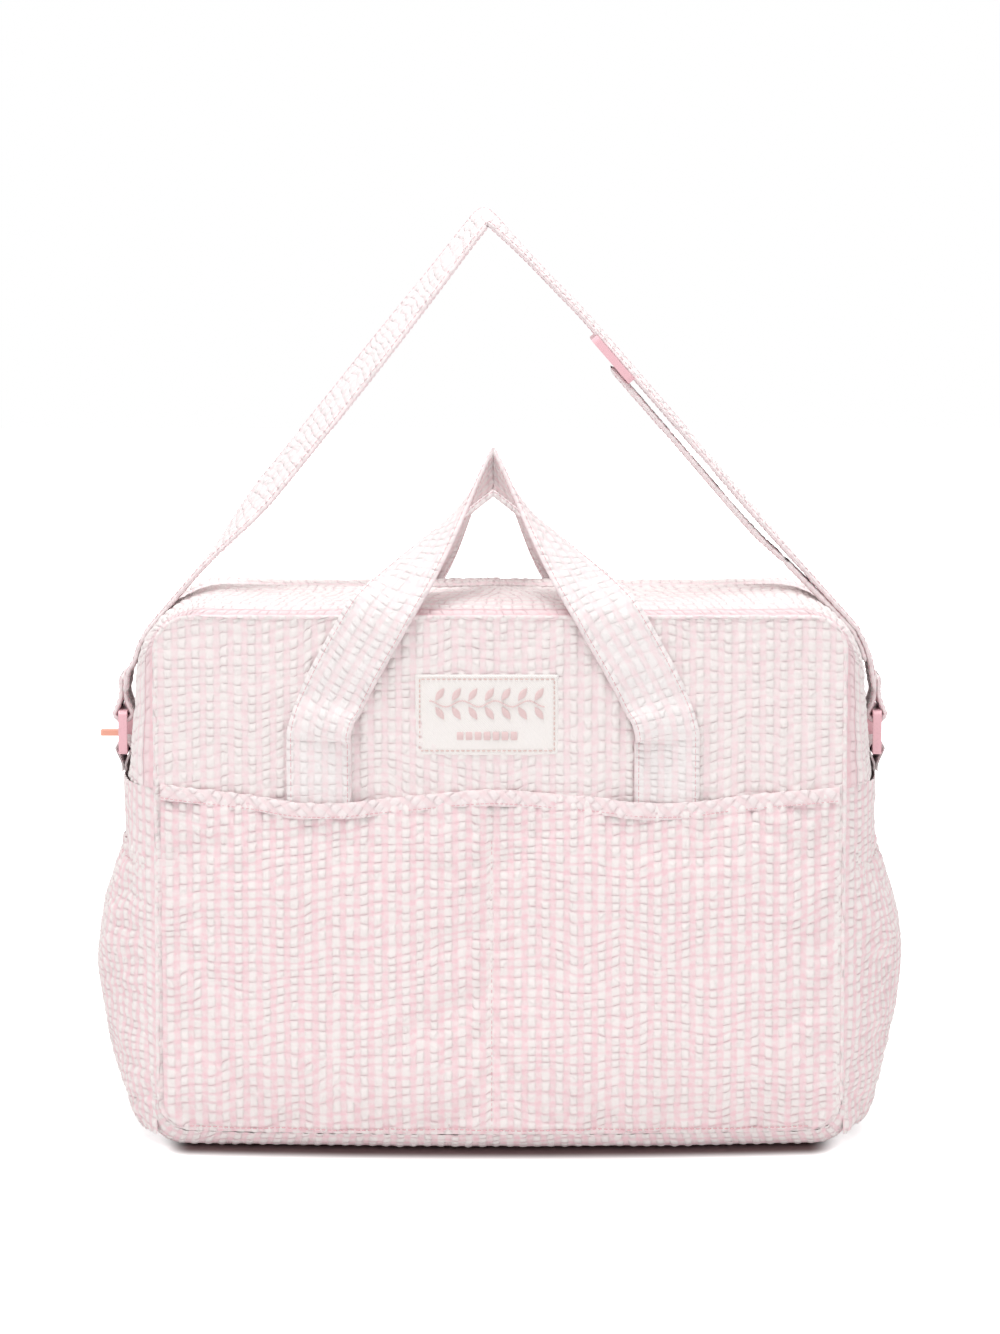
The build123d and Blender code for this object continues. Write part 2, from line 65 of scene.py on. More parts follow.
# Places and sizes, from the CAD boxes. Metres.
panel_low, panel_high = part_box("front_panel")
HALF = panel_high.x
FRONT = panel_low.y
PANEL_TOP = panel_high.z
DEPTH = -FRONT
ZIP_Y = (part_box("front_zip_half")[1].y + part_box("rear_zip_half")[0].y) / 2
SEAM_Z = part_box("left_gusset_front")[0].z
POCKET_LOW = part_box("front_pocket")[0].z
POCKET_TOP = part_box("front_pocket_binding")[1].z
HEM_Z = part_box("left_side_pocket")[1].z
FLAP_HINGE_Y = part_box("front_flap")[0].y
RING_LOW, RING_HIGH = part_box("right_ring")
STRAP_Y = (RING_LOW.y + RING_HIGH.y) / 2
RING_X = (RING_LOW.x + RING_HIGH.x) / 2
handle_low, handle_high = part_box("front_handle")
CENTRE_X = (handle_low.x + handle_high.x) / 2
STRAP_APEX_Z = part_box("shoulder_strap")[1].z

# Seersucker
STRIPE = 0.0081            # one white and one pink stripe
WHITE = 0.55               # share of the white stripe
CREASE = 0.0057            # from one fold of the white stripe to the next
FOLD_RISE = 0.07           # how much the rows of folds climb to the right
PUFF = 0.00100             # how far the white stripe stands off between its folds
CROSS_CREASE = 0.00045     # height of the thin creases that run across several stripes
COLUMN = STRIPE / 6
ROW = 0.0015
STRAP_WIDE = 0.038
STRAP_THICK = 0.0026
SEWN_IN = 0.0026           # from a strap's edge to its row of stitches
STRIPE_SHIFT = 0.0016      # puts a strap's stripes off its middle
ARC_STEPS = 12


# Noise and cloth relief ---------------------------------------------------------

def noise(u, v, size, seed):
    """Smooth noise from -1 to 1, with features of about the given size."""
    table = np.random.default_rng(seed).uniform(-1, 1, (64, 64))
    a = u / size + 640
    b = v / size + 640
    i = np.floor(a).astype(int)
    j = np.floor(b).astype(int)
    fa = a - i
    fb = b - j
    fa = fa * fa * (3 - 2 * fa)
    fb = fb * fb * (3 - 2 * fb)
    near = table[i % 64, j % 64] * (1 - fa) + table[(i + 1) % 64, j % 64] * fa
    far = table[i % 64, (j + 1) % 64] * (1 - fa) + table[(i + 1) % 64, (j + 1) % 64] * fa
    return near * (1 - fb) + far * fb


def smoothstep(value, low, high):
    share = np.clip((value - low) / (high - low), 0, 1)
    return share * share * (3 - 2 * share)


def pucker(u, v, seed, strength=1.0):
    """Height and fold phase of seersucker: u runs across its stripes and v along them.

    The folds of neighbouring stripes nearly line up, in rows that wander and rise a little to the right.
    """
    stripe = u / STRIPE
    index = np.floor(stripe).astype(int)
    across = stripe - index
    jitter = np.random.default_rng(seed).uniform(-0.5, 0.5, 512)[index % 512]
    wander = 1.7 * noise(u, v, 0.075, seed) + 0.55 * noise(u, v, 0.024, seed + 1)
    wander = wander + 0.20 * noise(u, v, 0.009, seed + 4)
    phase = v / CREASE + wander + 0.22 * jitter - FOLD_RISE * u / CREASE
    puff = np.abs(np.sin(math.pi * phase)) ** 0.6
    hump = np.sin(math.pi * np.clip(across / WHITE, 0, 1)) ** 0.7
    size = 1 + 0.5 * noise(u, v, 0.021, seed + 2)
    height = PUFF * strength * size * hump * (0.15 + 0.85 * puff)
    height = height + 0.00045 * strength * noise(u * 1.2, v * 2, 0.014, seed + 3)
    crease = 1 - 5 * np.abs(noise(u * 0.30 + v * 0.05, v - FOLD_RISE * u, 0.011, seed + 5))
    height = height + CROSS_CREASE * strength * np.clip(crease, 0, 1) ** 1.5
    return height, phase


def spline(before, here, ahead, after, share):
    """Values part of the way from here to ahead, on a smooth line through all four."""
    return 0.5 * (2 * here + (ahead - before) * share
                  + (2 * before - 5 * here + 4 * ahead - after) * share ** 2
                  + (3 * here - before - 3 * ahead + after) * share ** 3)


def curve_through(points, count):
    """A smooth line through the given points, as count evenly spaced ones."""
    points = np.asarray(points, float)
    padded = np.vstack([2 * points[0] - points[1], points, 2 * points[-1] - points[-2]])
    share = np.linspace(0, 1, ARC_STEPS, endpoint=False)[:, None]
    runs = [spline(*four, share) for four in zip(padded, padded[1:], padded[2:], padded[3:])]
    return even(np.vstack(runs + [points[-1:]]), count)


def read_off(place, knots, count=200):
    """Values at a place, from a smooth line through knots given as (place, value)."""
    line = curve_through(knots, count)
    return np.interp(place, line[:, 0], line[:, 1])


def even(line, count):
    """The same line as count evenly spaced points."""
    gone = gone_along(line)
    wanted = np.linspace(0, gone[-1], count)
    return np.stack([np.interp(wanted, gone, line[:, k]) for k in range(line.shape[1])], 1)


def direction_of(line):
    along = np.gradient(line, axis=0)
    return along / np.linalg.norm(along, axis=1, keepdims=True)


def gone_along(line):
    """The distance gone at each point of a line."""
    return np.concatenate([[0], np.cumsum(np.linalg.norm(np.diff(line[:, :3], axis=0), axis=1))])


def length_of(line):
    return float(gone_along(line)[-1])


def spaced(line, spacing):
    """The same line as points about the given distance apart."""
    return even(line, steps(length_of(line), spacing))


def whole(half):
    """An outline from one side to the other, from its right half."""
    return np.vstack([half, (half * [-1, 1])[-2::-1]])


def surface(x, y, z):
    """Points from their x, y and z. Each may be one number, or differ along the rows or columns only."""
    return np.stack(np.broadcast_arrays(x, y, z), -1)


# Meshes -------------------------------------------------------------------------

def placed(name, data):
    item = bpy.data.objects.new(name, data)
    bpy.context.scene.collection.objects.link(item)
    return item


def grid_mesh(name, points, cloth=None, fold=None):
    """A surface through a grid of points. Its columns by its rows face outwards."""
    rows, cols = points.shape[:2]
    index = np.arange(rows * cols).reshape(rows, cols)
    faces = np.stack([index[:-1, :-1], index[:-1, 1:], index[1:, 1:], index[1:, :-1]], -1).reshape(-1, 4)
    mesh = bpy.data.meshes.new(name)
    mesh.vertices.add(rows * cols)
    mesh.vertices.foreach_set("co", points.astype(np.float32).ravel())
    mesh.loops.add(faces.size)
    mesh.loops.foreach_set("vertex_index", faces.ravel().astype(np.int32))
    mesh.polygons.add(len(faces))
    mesh.polygons.foreach_set("loop_start", np.arange(0, faces.size, 4, dtype=np.int32))
    mesh.polygons.foreach_set("use_smooth", np.ones(len(faces), bool))
    mesh.update(calc_edges=True)
    if cloth is not None:
        layer = mesh.uv_layers.new(name="Cloth")
        layer.data.foreach_set("uv", cloth.reshape(-1, 2)[faces.ravel()].astype(np.float32).ravel())
    if fold is not None:
        attribute = mesh.attributes.new("Fold", "FLOAT", "POINT")
        attribute.data.foreach_set("value", fold.astype(np.float32).ravel())
    return placed(name, mesh)


def normals_of(points):
    normal = np.cross(np.gradient(points, axis=1), np.gradient(points, axis=0))
    return normal / np.maximum(np.linalg.norm(normal, axis=-1, keepdims=True), 1e-12)


def lifted(points, height):
    return points + normals_of(points) * np.asarray(height)[..., None]


def dress(piece, material, body=None, nodes=()):
    piece.data.materials.append(material)
    if nodes:
        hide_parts(*nodes)
    if body:
        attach(piece, body)
    return piece


def cloth_piece(name, points, u, v, seed, strength=1.0):
    """A piece of seersucker over a grid of points, with its puckers as real relief."""
    height, phase = pucker(u, v, seed, strength)
    return grid_mesh(name, lifted(points, height), np.stack(np.broadcast_arrays(u, v), -1), phase)


def mirrored(points):
    """The same surface on the other side of the bag, still facing outwards."""
    return (points * np.array([-1, 1, 1]))[:, ::-1]


def turned(points):
    """The same surface at the rear of the bag, still facing outwards."""
    return (points * np.array([1, -1, 1]))[:, ::-1]


def both_sides(points):
    return ("right", points), ("left", mirrored(points))


def both_faces(points):
    return ("front", points), ("rear", turned(points))


def steps(length, spacing):
    return max(4, int(round(length / spacing)) + 1)


def join(name, pieces):
    """Many small meshes, given as vertices and faces, as one piece."""
    verts = []
    faces = []
    for points, tris in pieces:
        base = len(verts)
        verts.extend(points)
        faces.extend(tuple(base + k for k in face) for face in tris)
    mesh = bpy.data.meshes.new(name)
    mesh.from_pydata([tuple(map(float, p)) for p in verts], [], faces)
    mesh.polygons.foreach_set("use_smooth", [True] * len(faces))
    mesh.update()
    return placed(name, mesh)


def stitch(start, end, normal, radius, rise):
    """One stitch of thread: a thin arched tube, sunk into the cloth at its ends."""
    start = np.asarray(start, float)
    end = np.asarray(end, float)
    normal = np.asarray(normal, float)
    along = end - start
    across = np.cross(along, normal)
    across = across / max(np.linalg.norm(across), 1e-12)
    points = []
    stations = ((0.0, -0.6, 0.5), (0.12, 0.3, 0.9), (0.5, 1.0, 1.0), (0.88, 0.3, 0.9), (1.0, -0.6, 0.5))
    sides = 6
    for share, height, fat in stations:
        middle = start + along * share + normal * rise * height
        for k in range(sides):
            angle = 2 * math.pi * k / sides
            points.append(middle + radius * fat * (across * math.cos(angle) + normal * math.sin(angle)))
    faces = []
    for ring in range(len(stations) - 1):
        for k in range(sides):
            a = ring * sides + k
            b = ring * sides + (k + 1) % sides
            faces.append((a, b, b + sides, a + sides))
    faces.append(tuple(range(sides - 1, -1, -1)))
    last = (len(stations) - 1) * sides
    faces.append(tuple(range(last, last + sides)))
    return points, faces


def stitch_row(line, normal, pitch=0.0030, gap=0.0007, radius=0.00022, rise=0.00022):
    """Stitches along a line. normal is one direction, or one for each point of the line."""
    line = np.asarray(line, float)
    normal = np.broadcast_to(np.asarray(normal, float), line.shape)
    both = spaced(np.hstack([line, normal]), pitch)
    row = []
    for a, b in zip(both, both[1:]):
        end = a[:3] + (b[:3] - a[:3]) * (1 - gap / pitch)
        row.append(stitch(a[:3], end, a[3:] / np.linalg.norm(a[3:]), radius, rise))
    return row


# Materials ----------------------------------------------------------------------

def put(tree, kind, *inputs, **settings):
    """Adds a shader node. Each input is a value or another node's output, in the sockets' order."""
    node = tree.nodes.new("ShaderNode" + kind)
    for key, value in settings.items():
        setattr(node, key, value)
    for socket, value in zip(node.inputs, inputs):
        if isinstance(value, bpy.types.NodeSocket):
            tree.links.new(value, socket)
        elif value is not None:
            socket.default_value = value
    return node.outputs[0]


def sums(tree, operation, *inputs):
    return put(tree, "Math", *inputs, operation=operation)


def times(tree, product, *others):
    for other in others:
        product = sums(tree, "MULTIPLY", product, other)
    return product


def ramp(tree, value, low, high, to_low=0.0, to_high=1.0):
    return put(tree, "MapRange", value, low, high, to_low, to_high, interpolation_type="SMOOTHSTEP")


def mixed(tree, factor, first, second):
    node = tree.nodes.new("ShaderNodeMix")
    node.data_type = "RGBA"
    for socket, value in zip((node.inputs[0], node.inputs[6], node.inputs[7]), (factor, first, second)):
        if isinstance(value, bpy.types.NodeSocket):
            tree.links.new(value, socket)
        else:
            socket.default_value = value
    return node.outputs[2]


def noise_node(tree, vector, scale, detail=2.0):
    return put(tree, "TexNoise", vector, None, scale, detail)


def split(tree, vector):
    """The x, y and z of a vector."""
    apart = tree.nodes.new("ShaderNodeSeparateXYZ")
    tree.links.new(vector, apart.inputs[0])
    return tuple(apart.outputs)


def wave(tree, value, period, shift=0.0):
    """A cosine of the value with the given period."""
    turn = sums(tree, "MULTIPLY_ADD", value, 2 * math.pi / period, shift * 2 * math.pi)
    return sums(tree, "COSINE", turn)


def linear(red, green, blue):
    """A colour given as it looks on a screen, from 0 to 255."""
    def one(value):
        value = value / 255
        return value / 12.92 if value <= 0.04045 else ((value + 0.055) / 1.055) ** 2.4
    return (one(red), one(green), one(blue), 1.0)


def new_material(name, roughness, sheen=0.0, specular=0.5):
    material = bpy.data.materials.new(name)
    material.use_nodes = True
    tree = material.node_tree
    shader = tree.nodes["Principled BSDF"]
    shader.inputs["Roughness"].default_value = roughness
    shader.inputs["Sheen Weight"].default_value = sheen
    shader.inputs["Specular IOR Level"].default_value = specular
    return material, tree, shader


def bump(tree, shader, height, distance, strength):
    node = tree.nodes.new("ShaderNodeBump")
    node.inputs["Strength"].default_value = strength
    node.inputs["Distance"].default_value = distance
    tree.links.new(height, node.inputs["Height"])
    tree.links.new(node.outputs["Normal"], shader.inputs["Normal"])


WHITE_COTTON = linear(254, 249, 247)
PINK_COTTON = linear(252, 218, 224)
# The colour of the painted shade in the seersucker's creases, where light from above leaves the lower part of
# each puff.
CREASE_SHADE = linear(226, 198, 201)


def seersucker(name, white=WHITE_COTTON, pink=PINK_COTTON, bars=0.30, folds=0.30):
    """White and pink woven stripes with faint pink bars, and painted shade in broken lines along the folds.
    """
    material, tree, shader = new_material(name, 0.82, sheen=0.12, specular=0.25)
    cloth = put(tree, "UVMap", uv_map="Cloth")
    u, v = split(tree, cloth)[:2]
    fold = tree.nodes.new("ShaderNodeAttribute")
    fold.attribute_name = "Fold"

    wander = noise_node(tree, cloth, 150.0)
    moved_u = sums(tree, "MULTIPLY_ADD", wander, 0.0018, sums(tree, "SUBTRACT", u, 0.0009))
    middle_of_pink = (1 + WHITE) / 2
    stripe = ramp(tree, wave(tree, moved_u, STRIPE, -middle_of_pink), -0.60, 0.80)
    phase = fold.outputs["Fac"]
    puff = sums(tree, "ABSOLUTE", sums(tree, "SINE", times(tree, phase, math.pi)))
    patchy = ramp(tree, noise_node(tree, cloth, 75.0), 0.35, 0.65, 0.35, 1.0)
    bar = times(tree, ramp(tree, puff, 0.20, 0.75, bars, 0.0), patchy)
    mottle = ramp(tree, noise_node(tree, cloth, 260.0), 0.30, 0.70, 0.55, 1.0)
    faded = ramp(tree, puff, 0.5, 1.0, 1.0, 0.72)
    strength = times(tree, stripe, mottle, faded)
    strength = sums(tree, "MULTIPLY_ADD", sums(tree, "SUBTRACT", 1.0, strength), bar, strength)
    colour = mixed(tree, strength, white, pink)

    # Painted shade: the lowest quarter of each puff, just above its crease, is mixed towards CREASE_SHADE,
    # less on the pink stripes, broken up by noise, as strongly as folds says.
    loose = sums(tree, "SUBTRACT", 1.0, times(tree, stripe, 0.7))
    broken = ramp(tree, noise_node(tree, cloth, 110.0, 1.0), 0.34, 0.60, 0.05, 1.0)
    shade = ramp(tree, sums(tree, "FRACT", phase), 0.0, 0.24, 1.0, 0.0)
    colour = mixed(tree, times(tree, shade, loose, broken, folds), colour, CREASE_SHADE)
    tree.links.new(colour, shader.inputs["Base Color"])

    relief = times(tree, ramp(tree, broken, 0.0, 1.0, 0.35, 1.0), sums(tree, "POWER", puff, 0.5), loose)
    crepe = times(tree, noise_node(tree, cloth, 420.0), 0.30)
    weave = times(tree, wave(tree, u, 0.0007), wave(tree, v, 0.0007), 0.05)
    height = sums(tree, "ADD", relief, sums(tree, "ADD", crepe, weave))
    bump(tree, shader, height, 0.0013, 0.9)
    return material


def object_place(tree):
    """The place in the object's own axes, as a vector and as its x, y and z."""
    place = tree.nodes.new("ShaderNodeTexCoord").outputs["Object"]
    return (place, *split(tree, place))


def scaled(colour, share):
    return tuple(min(1.0, share * value) for value in colour[:3]) + (1.0,)


def plain_cloth(name, colour, roughness=0.85, thread=0.0008, strength=0.4):
    """A woven cloth of one colour, with a fine weave and soft variation."""
    material, tree, shader = new_material(name, roughness, sheen=0.1, specular=0.2)
    place, x, y, z = object_place(tree)
    weave = times(tree, wave(tree, sums(tree, "ADD", x, y), thread), wave(tree, z, thread))
    soft = noise_node(tree, place, 55.0)
    shade = mixed(tree, ramp(tree, soft, 0.3, 0.7), colour, scaled(colour, 0.90))
    tree.links.new(shade, shader.inputs["Base Color"])
    bump(tree, shader, sums(tree, "ADD", weave, times(tree, soft, 2.0)), 0.0002, strength)
    return material


def twill(name, colour):
    """A cotton tape with fine diagonal ribs, with painted shade in the grooves between them."""
    material, tree, shader = new_material(name, 0.8, sheen=0.1, specular=0.2)
    place, x, _, z = object_place(tree)
    rib = wave(tree, sums(tree, "ADD", x, z), 0.0014)
    fine = noise_node(tree, place, 900.0)
    # Painted shade: the colour is 3% darker towards the grooves between the ribs.
    shade = mixed(tree, ramp(tree, rib, -1.0, 1.0), scaled(colour, 0.97), colour)
    tree.links.new(shade, shader.inputs["Base Color"])
    bump(tree, shader, sums(tree, "ADD", rib, fine), 0.00022, 0.5)
    return material


def thread(name, colour):
    """Twisted sewing thread with a soft gloss."""
    material, tree, shader = new_material(name, 0.5, sheen=0.2, specular=0.4)
    fine = noise_node(tree, object_place(tree)[0], 1400.0)
    tree.links.new(mixed(tree, fine, scaled(colour, 0.82), colour), shader.inputs["Base Color"])
    bump(tree, shader, fine, 0.0001, 0.5)
    return material


def plastic(name, colour, roughness=0.32, metallic=0.0):
    """Moulded plastic or lacquered metal with a faint orange-peel surface."""
    material, tree, shader = new_material(name, roughness)
    shader.inputs["Metallic"].default_value = metallic
    place = object_place(tree)[0]
    soft = noise_node(tree, place, 160.0)
    fine = noise_node(tree, place, 900.0)
    tree.links.new(mixed(tree, soft, colour, scaled(colour, 1.06)), shader.inputs["Base Color"])
    rough = ramp(tree, fine, 0.3, 0.7, roughness - 0.06, roughness + 0.08)
    tree.links.new(rough, shader.inputs["Roughness"])
    bump(tree, shader, fine, 0.0001, 0.25)
    return material


# Every seersucker below carries the painted crease shade; its folds argument sets how strong it is.
STRIPED = seersucker("Seersucker", bars=0.55)
PALE = seersucker("Seersucker_pale", pink=linear(253, 231, 234), bars=0.45)
STRAP_CLOTH = seersucker("Seersucker_strap", linear(255, 252, 251), linear(253, 235, 237), 0.25, 0.24)
BINDING = seersucker("Seersucker_binding", linear(255, 246, 246), linear(252, 231, 233), bars=0.6)
LINING = plain_cloth("Cotton_lining", linear(250, 244, 238))
FOAM = plain_cloth("Padding", linear(244, 240, 232), thread=0.003)
BOARD = plain_cloth("Base_board", linear(222, 214, 204), thread=0.002)
TAPE = plain_cloth("Zip_tape", linear(246, 214, 218), thread=0.0006)
TWILL = twill("Label_twill", linear(255, 253, 250))
CORAL = thread("Coral_thread", linear(240, 150, 150))
SALMON = thread("Sewing_thread", linear(246, 198, 205))
CREAM = thread("Cream_thread", linear(240, 212, 206))
EMBROIDERY = thread("Embroidery_thread", linear(250, 226, 225))
# A pinker copy of the seersucker for the rims behind the panels' top seams: partly the cloth's own pink,
# partly painted shade of the groove there.
SEAM_RIM_PINK_AND_SHADE = seersucker("Seersucker_seam_pink_and_shade", linear(252, 232, 234), linear(248, 210, 216))
COIL = plastic("Zip_coil", linear(248, 224, 227), 0.4)
PINK_PLASTIC = plastic("Pink_plastic", linear(243, 196, 204), 0.3)
SLIDER = plastic("Slider_lacquer", linear(246, 204, 210), 0.28, 0.15)
PEACH = plastic("Peach_pull", linear(250, 182, 160), 0.42)

NODE_MATERIALS = {
    "left_ring": PINK_PLASTIC, "right_ring": PINK_PLASTIC, "strap_adjuster": PINK_PLASTIC,
    "zip_slider": SLIDER, "zip_pull_link": SLIDER, "zip_pull_tab": PEACH,
}
ROUNDED = {
    "left_ring": 0.0012, "right_ring": 0.0012, "strap_adjuster": 0.0011, "zip_slider": 0.0004,
    "zip_pull_link": 0.0003, "zip_pull_tab": 0.0009,
}


def finish_nodes():
    """Materials and rounded edges for the CAD nodes that stay in view."""
    for name, material in NODE_MATERIALS.items():
        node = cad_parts[name]
        node.data.materials.clear()
        node.data.materials.append(material)
    for name, width in ROUNDED.items():
        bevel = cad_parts[name].modifiers.new("Rounded edges", "BEVEL")
        bevel.width = width
        bevel.segments = 3
        bevel.limit_method = "ANGLE"


# Cloth simulation ---------------------------------------------------------------

CLOTH_SETTINGS = {
    "vertex_group_mass": "Sewn", "quality": 6, "mass": 0.15, "tension_stiffness": 15,
    "compression_stiffness": 15, "shear_stiffness": 5, "bending_stiffness": 0.3, "use_pressure": True,
}


def inflated(points, pinned, pressure, slack, frames=26):
    """The same sheet after air pressure from behind, held where pinned and a little too large."""
    piece = grid_mesh("Simulated", points)
    group = piece.vertex_groups.new(name="Sewn")
    group.add(np.flatnonzero(pinned.ravel()).tolist(), 1.0, "REPLACE")
    modifier = piece.modifiers.new("Cloth", "CLOTH")
    settings = modifier.settings
    for key, value in CLOTH_SETTINGS.items():
        setattr(settings, key, value)
    settings.shrink_min = -slack
    settings.uniform_pressure_force = pressure
    settings.effector_weights.gravity = 0
    modifier.collision_settings.use_collision = False
    modifier.point_cache.frame_start = 1
    modifier.point_cache.frame_end = frames
    for number in range(1, frames + 1):
        bpy.context.scene.frame_set(number)
    evaluated = piece.evaluated_get(bpy.context.evaluated_depsgraph_get())
    result = np.empty(points.size, np.float32)
    evaluated.data.vertices.foreach_get("co", result)
    bpy.data.objects.remove(piece)
    bpy.context.scene.frame_set(1)
    return result.reshape(points.shape).astype(float)


def refined(grid, rows, cols):
    """A coarse grid of values as a fine one, smoothly."""
    def spread(values, count):
        last = len(values) - 1
        place = np.linspace(0, last, count)
        i = np.clip(np.floor(place).astype(int), 0, last - 1)
        share = (place - i).reshape((-1,) + (1,) * (values.ndim - 1))
        return spline(values[np.clip(i - 1, 0, last)], values[i], values[i + 1],
                      values[np.clip(i + 2, 0, last)], share)
    tall = spread(grid, rows)
    return np.swapaxes(spread(np.swapaxes(tall, 0, 1), cols), 0, 1)


# Body ---------------------------------------------------------------------------

PANEL_RADIUS = 0.020
PANEL_LOW_RADIUS = 0.018
PANEL_LOW_Z = 0.0115
MIDDLE_RADIUS = 0.050
MIDDLE_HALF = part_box("right_gusset_front")[1].x + 0.0004
MIDDLE_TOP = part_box("front_flap")[1].z + 0.0045
SIDE_FLARE = 0.005         # the upper gusset widens this much towards its lower seam
TURN_Z = PANEL_LOW_Z + PANEL_LOW_RADIUS + 0.001
TURN_HALF = 0.2120
TURN_RADIUS = 0.026
SIDE_POWER = 3.2           # how squarely the side and the base bulge between the panels
BASE_POWER = 14.0
LOWER_KNOTS = ((TURN_Z, TURN_HALF), (0.045, 0.2180), (0.070, 0.2225), (0.110, 0.2236), (0.214, 0.2228))
BOW = 0.012                # how far the front and the rear swell along the base
ZIP_VALLEY = 0.0036
ZIP_HALF_SLOT = 0.008
ZIP_FOLD = 0.0045          # the cloth folded down along the zip
ZIP_FOOT = 0.007           # the zip starts this far above the side seam
COIL_PITCH = 0.0017
COARSE = (0.004, 0.004)    # the grid of the hidden sheets
RIM_WIDE = 0.0003
LINING_DEPTH = 0.0078
FOAM_DEPTH = 0.0036


def rounded_line(half, top, radius, low, counts, flare=0.0):
    """Half of an outline, from the side at height low, round its top corner to x = 0, as (x, z)."""
    side, corner, flat = counts
    z = np.linspace(low, top - radius, side)
    x = half + flare * np.clip((top - radius - z) / (top - radius - low), 0, 1) ** 1.2
    angle = np.linspace(0, math.pi / 2, corner + 1)[1:]
    arc = np.stack([half - radius + radius * np.cos(angle), top - radius + radius * np.sin(angle)], 1)
    across = np.linspace(half - radius, 0, flat + 1)[1:]
    end = np.stack([across, np.full(flat, top)], 1)
    return np.vstack([np.stack([x, z], 1), arc, end])


def upper_lines():
    """Matched outlines of the upper gusset at the panels and at mid depth, and its length at mid depth."""
    straight = MIDDLE_TOP - MIDDLE_RADIUS - SEAM_Z
    arc = math.pi / 2 * MIDDLE_RADIUS
    flat = MIDDLE_HALF - MIDDLE_RADIUS
    counts = (steps(straight, ROW), steps(arc, ROW), steps(flat, ROW))
    panel = rounded_line(HALF, PANEL_TOP, PANEL_RADIUS, SEAM_Z, counts)
    middle = rounded_line(MIDDLE_HALF, MIDDLE_TOP, MIDDLE_RADIUS, SEAM_Z, counts, SIDE_FLARE)
    return panel, middle, gone_along(middle)


def upper_surface(y, depth=0.0):
    """Points of the right upper gusset: rows along its outline, one column for each y."""
    panel, middle, gone = upper_lines()
    share = 1 - np.abs(y / DEPTH) ** 4
    flat = panel[:, None] + (middle - panel)[:, None] * share[:, None]
    valley = -ZIP_VALLEY * np.exp(-((y - ZIP_Y) / 0.010) ** 2)
    soft = 0.0012 * share * noise(gone[:, None], y, 0.045, 31)
    return lifted(surface(flat[..., 0], y, flat[..., 1]), valley + soft - depth), gone


def across_strip(low, high):
    return np.linspace(low, high, steps(high - low, COLUMN))


def gusset_pieces():
    """The upper gusset: rims, and a padded strip each side of the zip, each with a folded zip edge."""
    strips = {"front": (-DEPTH, FLAP_HINGE_Y - RIM_WIDE, FLAP_HINGE_Y, ZIP_Y - ZIP_HALF_SLOT)}
    strips["rear"] = (DEPTH, -FLAP_HINGE_Y + RIM_WIDE, -FLAP_HINGE_Y, ZIP_Y + ZIP_HALF_SLOT)
    for name, (edge, rim, hinge, zip_edge) in strips.items():
        rim_y = across_strip(*sorted((edge, rim)))
        strip_y = across_strip(*sorted((hinge, zip_edge)))
        for side in ("right", "left"):
            seed = {"front": 11, "rear": 17}[name] + (side == "left")
            rim_points, gone = upper_surface(rim_y)
            strip_points, gone = upper_surface(strip_y)
            fold = lifted(strip_points, np.full(strip_points.shape[:2], -ZIP_FOLD))
            if name == "front":
                strip_points = np.concatenate([strip_points, fold[:, -1:]], 1)
                wide = np.append(strip_y, strip_y[-1] + ZIP_FOLD)
            else:
                strip_points = np.concatenate([fold[:, :1], strip_points], 1)
                wide = np.insert(strip_y, 0, strip_y[0] - ZIP_FOLD)
            for kind, points, y in (("rim", rim_points, rim_y), ("strip", strip_points, wide)):
                if side == "left":
                    points = mirrored(points)
                    y = y[::-1]
                piece = cloth_piece(f"{name}_{side}_{kind}", points, y, gone[:, None], seed, 0.9)
                if kind == "rim":
                    # The rim's pinker cloth includes painted shade of the groove.
                    dress(piece, SEAM_RIM_PINK_AND_SHADE, "bag_body", nodes=(f"{name}_top_rim",) if side == "right" else ())
                    continue
                top = (f"{name}_flap",) if side == "right" else ()
                dress(piece, PALE, nodes=top + (f"{side}_gusset_{name}",))
                blend_flap(piece)


def blend_flap(piece):
    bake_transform(piece)


def zips():
    """Tapes and coils along each side of the opening, from one side seam to the other."""
    for name, away in (("front", -1), ("rear", 1)):
        edge = ZIP_Y + away * (ZIP_HALF_SLOT + 0.001)
        near = ZIP_Y + away * 0.0004
        points, gone = upper_surface(np.linspace(*sorted((edge, near)), 8), 0.0012)
        start = int(np.searchsorted(gone, ZIP_FOOT))
        rails = upper_surface(np.sort(np.array([ZIP_Y + away * 0.0028, near])), 0.0002)[0][start:]
        lines = spaced(np.hstack([rails[:, 0], rails[:, 1]]), COIL_PITCH)
        normal = normals_of(np.stack([lines[:, :3], lines[:, 3:]], 1))
        half_pitch = 0.5 if away > 0 else 0.0
        teeth = []
        for k in range(len(lines) - 1):
            here = lines[k] + (lines[k + 1] - lines[k]) * half_pitch
            teeth.append(stitch(here[:3], here[3:], normal[k, 0], 0.0006, 0.0004))
        for side, tape in both_sides(points[start:]):
            row = teeth
            nodes = (f"{name}_zip_half",)
            if side == "left":
                row = [([p * np.array([-1, 1, 1]) for p in tooth], [f[::-1] for f in faces])
                       for tooth, faces in teeth]
                nodes = ("zip_corner_tapes",) if name == "front" else ()
            piece = dress(grid_mesh(f"{name}_{side}_zip_tape", tape), TAPE, nodes=nodes)
            blend_flap(piece)
            nodes = (f"{side}_side_zip",) if name == "front" else ()
            coil = dress(join(f"{name}_{side}_zip_coil", row), COIL, nodes=nodes)
            blend_flap(coil)


def lower_surface(y, z, depth=0.0):
    """Points of the right side panel, rows by height and columns by depth."""
    share = 1 - np.abs(y / DEPTH) ** SIDE_POWER
    z = z[:, None]
    x = HALF + (read_off(z, LOWER_KNOTS, 120) - HALF) * share
    return lifted(surface(x, y, z), 0.0006 * share * noise(y, z, 0.05, 41) - depth)


